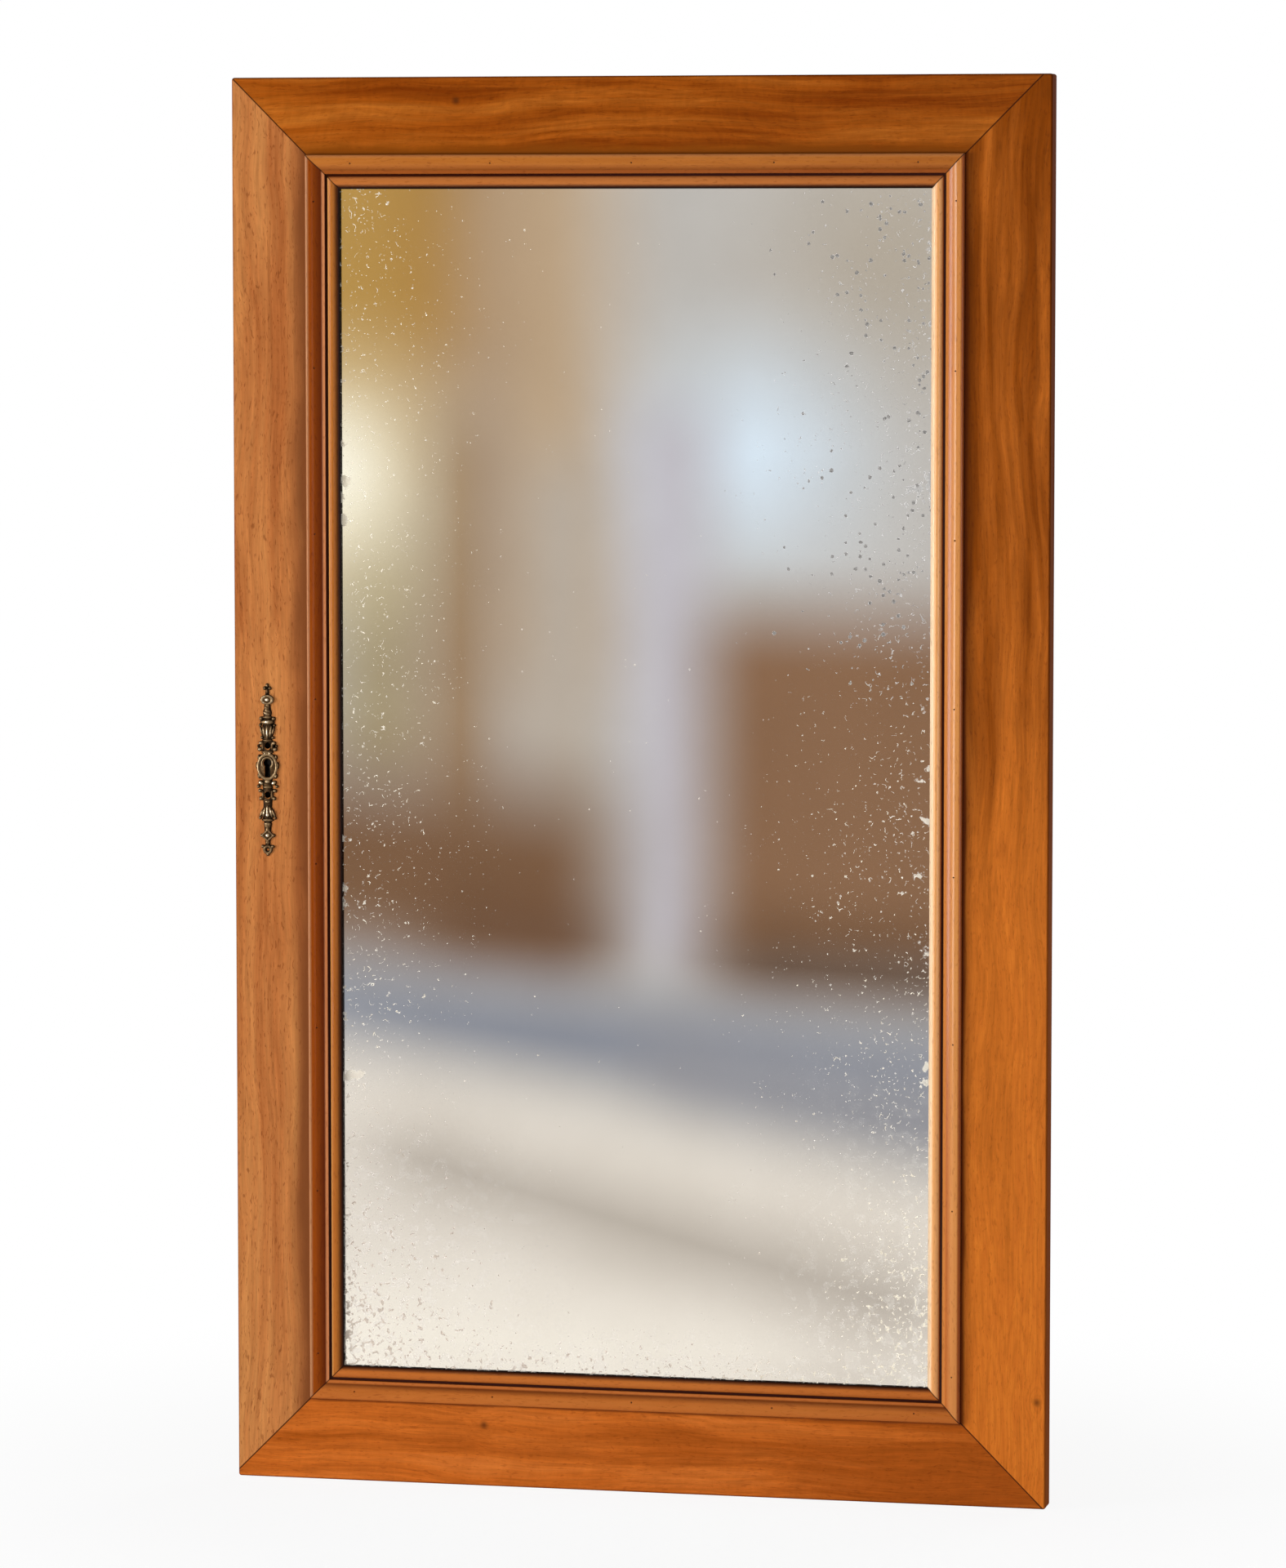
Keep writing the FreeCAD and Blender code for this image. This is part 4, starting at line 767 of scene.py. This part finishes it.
# %% Softwood and oak
def bare_wood(name, tones, turn, width, offset, *targets):
    """Unfinished wood: dull, with early and late growth a given width in millimetres apart."""
    # To the eye: dull pale wood with saw marks, far rougher than the front.
    material, tree, shader, mm = new_finish(name)
    board = add(tree, "Mapping", {"Vector": mm, "Rotation": turn, "Location": (offset, 0, offset)})
    layers = add(tree, "Mapping", {"Vector": board, "Scale": (1 / 60, 1 / 60, 1 / 1100)})
    layers = add(tree, "TexNoise", {"Vector": layers, "Scale": 1.0, "Detail": 1.0})
    rings = add(tree, "Math", {0: layers, 1: 90 / width}, operation="MULTIPLY")
    rings = add(tree, "Math", {0: rings, 1: 0.5}, operation="PINGPONG")
    colour = add(tree, "ValToRGB", {0: rings}, stops=[(0.02, tones[1]), (0.35, tones[0])])
    tint = add(tree, "TexNoise", {"Vector": mm, "Scale": 1 / 120, "Detail": 5.0})
    colour = add(tree, "Mix", {0: 0.35, 6: colour, 7: tint}, data_type="RGBA", blend_type="OVERLAY")
    saw = add(tree, "Mapping", {"Vector": board, "Scale": (1 / 20, 1 / 20, 0.35)})
    saw = add(tree, "TexNoise", {"Vector": saw, "Scale": 1.0, "Detail": 3.0})
    bump = add(tree, "Bump", {"Height": saw, "Strength": 0.4, "Distance": 0.0003})
    low, high = (1000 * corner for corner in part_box(targets[0]))
    away, _ = outside(tree, mm, low.x, high.x, low.z, high.z)
    seam = add(tree, "MapRange", {0: away, 1: -2.2, 2: -0.4, 3: 0.0, 4: 0.8}, **SMOOTH)
    colour = add(tree, "Mix", {0: seam, 6: colour, 7: linear("#2c1d10")}, data_type="RGBA")
    feed(tree, shader, {"Base Color": colour, "Normal": bump, "Roughness": 0.75})
    dress(material, *targets)


bare_wood("rough_sawn_pine_left", ("#a67c4c", "#875f35"), GRAIN_UP, 6.0, 0, "backboard_left")
bare_wood("rough_sawn_pine_middle", ("#b08552", "#91683a"), GRAIN_UP, 7.0, 730, "backboard_middle")
bare_wood("rough_sawn_pine_right", ("#9e7445", "#805930"), GRAIN_UP, 6.0, 1510, "backboard_right")
bare_wood("split_pine_setting_blocks", ("#b8935f", "#8b653c"), GRAIN_LEVEL, 4.0, 200, "setting_blocks")
bare_wood("split_pine_glazing_blocks", ("#b8935f", "#8b653c"), GRAIN_LEVEL, 4.0, 300, "glazing_blocks")
bare_wood("riven_oak_pegs", ("#8c6a42", "#5b4024"), GRAIN_LEVEL, 2.0, 400, "corner_pegs")

# %% [markdown]
# ## Iron and steel
# Hangers, nails and screws are forged iron that has rusted in patches. The lock was filed from steel plate,
# which stays greyer. Both are metals with a mottled skin, so one noise sets colour, gloss and relief
# together: where the skin is dull it is also rough and a little lower.

# %% Iron and steel
def old_metal(name, tones, patch, rough, *targets):
    """Metal with a mottled skin: tones from bright to dull, in patches of a given size in millimetres."""
    # To the eye: dark metal that is bright in no place, the iron browner, the steel greyer and smoother.
    material, tree, shader, mm = new_finish(name)
    skin = add(tree, "TexNoise", {"Vector": mm, "Scale": 1 / patch, "Detail": 5.0, "Roughness": 0.65})
    colour = add(tree, "ValToRGB", {0: skin}, stops=[(0.35, tones[1]), (0.62, tones[0])])
    dull = add(tree, "MapRange", {0: skin, 1: 0.3, 2: 0.7, 3: rough + 0.2, 4: rough})
    bump = add(tree, "Bump", {"Height": skin, "Strength": 0.3, "Distance": 0.0001})
    feed(tree, shader, {"Base Color": colour, "Roughness": dull, "Normal": bump, "Metallic": 1.0})
    dress(material, *targets)


old_metal("forged_iron_rusted", ("#4a4440", "#3a2318"), 9.0, 0.5, "hanger_left", "hanger_right", "ring_left",
          "ring_right", "hanger_screws", "backboard_nails", "moulding_brads")
old_metal("filed_steel_plate", ("#57524c", "#3d3832"), 30.0, 0.42, "lock_case", "lock_cover", "lock_bolt",
          "lock_guide_pin", "lock_spring", "lock_screws")

# %% [markdown]
# ## The studio
# A pale floor and a white surround. Both are white for rays from the camera and for reflections, and give
# only plain soft light to the object. The floor is lit as any floor is near the mirror, so the shadow
# stays.

# %% Floor
def seen_directly(tree):
    """A mask: 1 for rays from the camera, in reflections and through glass, 0 for light on things."""
    light = add(tree, "LightPath")
    seen = light.outputs["Is Camera Ray"]
    for ray in ("Is Glossy Ray", "Is Transmission Ray"):
        seen = add(tree, "Math", {0: seen, 1: light.outputs[ray]}, operation="MAXIMUM")
    return seen


# To the eye: white paper that keeps a soft shadow where the mirror stands.
bpy.ops.object.select_all(action="DESELECT")
bpy.ops.mesh.primitive_plane_add(size=24)
floor = bpy.context.object
floor.name = "studio_floor"
material, tree, shader, mm = new_finish("pale_studio_floor")
feed(tree, shader, {"Base Color": linear("#ededec"), "Roughness": 0.9, "Specular IOR Level": 0.0})
SHADOW_NEAR, SHADOW_FAR = 300.0, 1100.0
far = add(tree, "VectorMath", {0: mm}, operation="LENGTH").outputs["Value"]
far = add(tree, "MapRange", {0: far, 1: SHADOW_NEAR, 2: SHADOW_FAR, 3: 0.9, 4: 1.0}, **SMOOTH)
white = add(tree, "Math", {0: seen_directly(tree), 1: far}, operation="MULTIPLY")
shown = add(tree, "MixShader", {0: white, 1: shader, 2: add(tree, "Emission", {"Color": linear("#ffffff")})})
feed(tree, tree.nodes["Material Output"], {"Surface": shown})
floor.data.materials.append(material)
print("the floor's shadow fades from", SHADOW_NEAR, "to", SHADOW_FAR, "mm")

# %% Surround
world = bpy.data.worlds.new("white_surround")
bpy.context.scene.world = world
world.use_nodes = True
tree = world.node_tree
SOFT_LIGHT = 0.2
strength = add(tree, "MapRange", {0: seen_directly(tree), 3: SOFT_LIGHT, 4: 1.0})
feed(tree, tree.nodes["Background"], {"Strength": strength, "Color": linear("#ffffff")})
print("surround gives", SOFT_LIGHT, "and shows as 1")

# %% [markdown]
# ## What the mirror looks at
# A mirror shows whatever stands before it. A soft card stands 0.8 m in front, seen by reflections only, with
# a foot that runs along the floor to the mirror. It glows by itself and lights nothing, so all that it shows
# is a painted reflection. Its edges fade out, so other views show no hard border. It could be an empty white
# wall, but then the silver would look like paper. Large soft areas of colour, as anything looks when the eye
# is on the glass, make it a mirror; among them are painted glows and a painted shadow.

# %% The card and its foot
CARD_FRONT, CARD_FOOT = -0.8, -0.03
CARD_LEFT, CARD_RIGHT, CARD_TOP = -0.85, 0.45, 1.65
ABOVE_FLOOR = 0.001
NEAR_FLOOR = 0.01
bpy.ops.object.select_all(action="DESELECT")
bpy.ops.mesh.primitive_plane_add(
    size=1, location=((CARD_LEFT + CARD_RIGHT) / 2, CARD_FRONT, CARD_TOP / 2 + ABOVE_FLOOR),
    rotation=(math.radians(90), 0, 0))
card = bpy.context.object
card.name = "room_card"
card.scale = (CARD_RIGHT - CARD_LEFT, CARD_TOP, 1)
bpy.ops.object.transform_apply(location=True, rotation=True, scale=True)
for edge in card.data.edges:
    edge.select = all(card.data.vertices[i].co.z < NEAR_FLOOR for i in edge.vertices)
for face in card.data.polygons:
    face.select = False
for corner in card.data.vertices:
    corner.select = corner.co.z < NEAR_FLOOR
bpy.ops.object.mode_set(mode="EDIT")
bpy.ops.mesh.select_mode(type="EDGE")
bpy.ops.mesh.extrude_region_move(TRANSFORM_OT_translate={"value": (0, CARD_FOOT - CARD_FRONT, 0)})
bpy.ops.object.mode_set(mode="OBJECT")
for ray in ("camera", "diffuse", "shadow", "volume_scatter"):
    setattr(card, "visible_" + ray, False)
print("card of", len(card.data.polygons), "faces")

# %% Soft areas on the card
# To the eye: blurred light and shade, deep inside the mirror.
material, tree, shader, mm = new_finish("painted_room_card")
tree.nodes.remove(shader)
# The areas are written as large as they look on the pane. The card lies further off, so it is larger.
CARD_SHIFT, CARD_SCALE = (-177, 0, -158), (1.13, 1e6, 1.13)
on_pane = add(tree, "Mapping", {"Vector": mm, "Location": CARD_SHIFT, "Scale": CARD_SCALE},
              vector_type="TEXTURE")
soft_areas = [
    # Middle across and up, half width, half height and feather in mm; tilt in degrees; colour.
    # Greys, beiges and golds of the upper half.
    (250, 1190, 100, 110, 100, 0, "#b4aa9c"),
    (-85, 1080, 65, 300, 70, 0, "#bda78d"),
    (-75, 800, 45, 200, 60, 0, "#b5a99c"),
    (-330, 1260, 200, 220, 105, 0, "#a67d45"),
    (-340, 1200, 110, 260, 95, 0, "#b8924f"),
    (-255, 800, 60, 130, 70, 0, "#a6987a"),
    (-175, 800, 30, 240, 70, 0, "#95744f"),
    # Three glows and a pale stripe.
    (-330, 975, 95, 100, 98, 0, "#e6d9b4"),
    (-322, 985, 58, 52, 60, 0, "#fffbea"),
    (112, 1005, 80, 80, 105, 0, "#d9e9f7"),
    (32, 780, 38, 270, 52, 0, "#c1bec6"),
    # Browns of the middle.
    (-230, 600, 205, 90, 75, 5, "#7b5c44"),
    (-120, 545, 90, 30, 60, 5, "#6d4f3a"),
    (245, 675, 180, 180, 62, 0, "#8a684e"),
    (225, 512, 150, 22, 75, 3, "#503a2b"),
    # Pale bands at the foot.
    (0, 436, 600, 42, 52, 5, "#8a8e99"),
    (190, 380, 190, 45, 60, 9, "#929298"),
    (-40, 166, 700, 205, 60, 11, "#e2dacf"),
    # The darker band across the pale foot is a painted shadow.
    (20, 254, 290, 18, 72, 15, "#a69c91"),
    (-150, 120, 300, 55, 70, 8, "#f5eee1"),
]
colour = linear("#bebab5")
for across, up, wide, tall, feather, tilt, tone in soft_areas:
    local = add(tree, "Mapping", {"Vector": on_pane, "Location": (across, 0, up),
                                  "Rotation": (0, math.radians(tilt), 0)}, vector_type="TEXTURE")
    folded = add(tree, "SeparateXYZ", {0: add(tree, "VectorMath", {0: local}, operation="ABSOLUTE")})
    level = add(tree, "MapRange", {0: folded.outputs["X"], 1: wide + feather, 2: wide - feather}, **SMOOTH)
    upright = add(tree, "MapRange", {0: folded.outputs["Z"], 1: tall + feather, 2: tall - feather}, **SMOOTH)
    share = add(tree, "Math", {0: level, 1: upright}, operation="MULTIPLY")
    colour = add(tree, "Mix", {0: share, 6: colour, 7: linear(tone)}, data_type="RGBA")
print(len(soft_areas), "soft areas on the card")

# %% Light and fading edges of the card
FILM_LOSS = 1.13
CARD_FADE = 250.0
# The card glows by its own light, a painted reflection and no lamp.
glow = add(tree, "Emission", {"Color": colour, "Strength": FILM_LOSS})
away, _ = outside(tree, mm, 1000 * CARD_LEFT, 1000 * CARD_RIGHT, -1000 * CARD_TOP, 1000 * CARD_TOP)
shown = add(tree, "MapRange", {0: away, 1: 0.0, 2: -CARD_FADE}, **SMOOTH)
faded = add(tree, "MixShader", {0: shown, 1: add(tree, "BsdfTransparent"), 2: glow})
feed(tree, tree.nodes["Material Output"], {"Surface": faded})
card.data.materials.append(material)
print("the card fades over", CARD_FADE, "mm")

# %% [markdown]
# ## Lamps
# One large soft lamp stands to the left, so that the moulding's slopes show: those turned to it shine,
# those turned away fall dark. A weaker one in front opens the shadows, and one behind lights the boards and
# the lock for anyone who walks round. Lamps from straight ahead would show the colours as well, but flatten
# the moulding.

# %% Lamps
def soft_lamp(name, place, target, wide, tall, watts):
    """A soft rectangular lamp, turned to its target."""
    lamp = bpy.data.lights.new(name, "AREA")
    lamp.shape = "RECTANGLE"
    lamp.size = wide
    lamp.size_y = tall
    lamp.energy = watts
    thing = bpy.data.objects.new(name, lamp)
    bpy.context.scene.collection.objects.link(thing)
    thing.location = place
    thing.rotation_euler = (Vector(target) - Vector(place)).to_track_quat("-Z", "Y").to_euler()
    thing.visible_camera = False
    print(name, "at", place, watts, "W")


soft_lamp("key_lamp", (-3.0, -1.9, 0.8), (0, 0, 0.7), 1.4, 1.8, 115)
soft_lamp("front_lamp", (0.9, -4.0, 0.4), (0, 0, 0.7), 1.6, 1.6, 60)
soft_lamp("back_lamp", (1.6, 3.4, 1.5), (0, 0, 0.7), 2.0, 2.0, 62)

# %% [markdown]
# ## Camera
# The lens is long and far away, a little to the right of the mirror and above its middle, so the uprights
# stay nearly parallel. A short lens from nearby would make the foot look narrower than the top.

# %% Camera
EYE = Vector((1.3611, -6.1072, 1.2137))
LOOK_AT = Vector((0.0065, -0.012, 0.6883))
lens = bpy.data.cameras.new("long_lens")
lens.sensor_fit = "VERTICAL"
lens.sensor_height = 36
lens.lens = 150
lens.clip_end = 100
camera = bpy.data.objects.new("camera", lens)
bpy.context.scene.collection.objects.link(camera)
camera.location = EYE
camera.rotation_euler = (LOOK_AT - EYE).to_track_quat("-Z", "Y").to_euler()
bpy.context.scene.camera = camera
bpy.context.scene.view_settings.view_transform = "Standard"
print("camera %.2f m from the mirror" % (LOOK_AT - EYE).length)
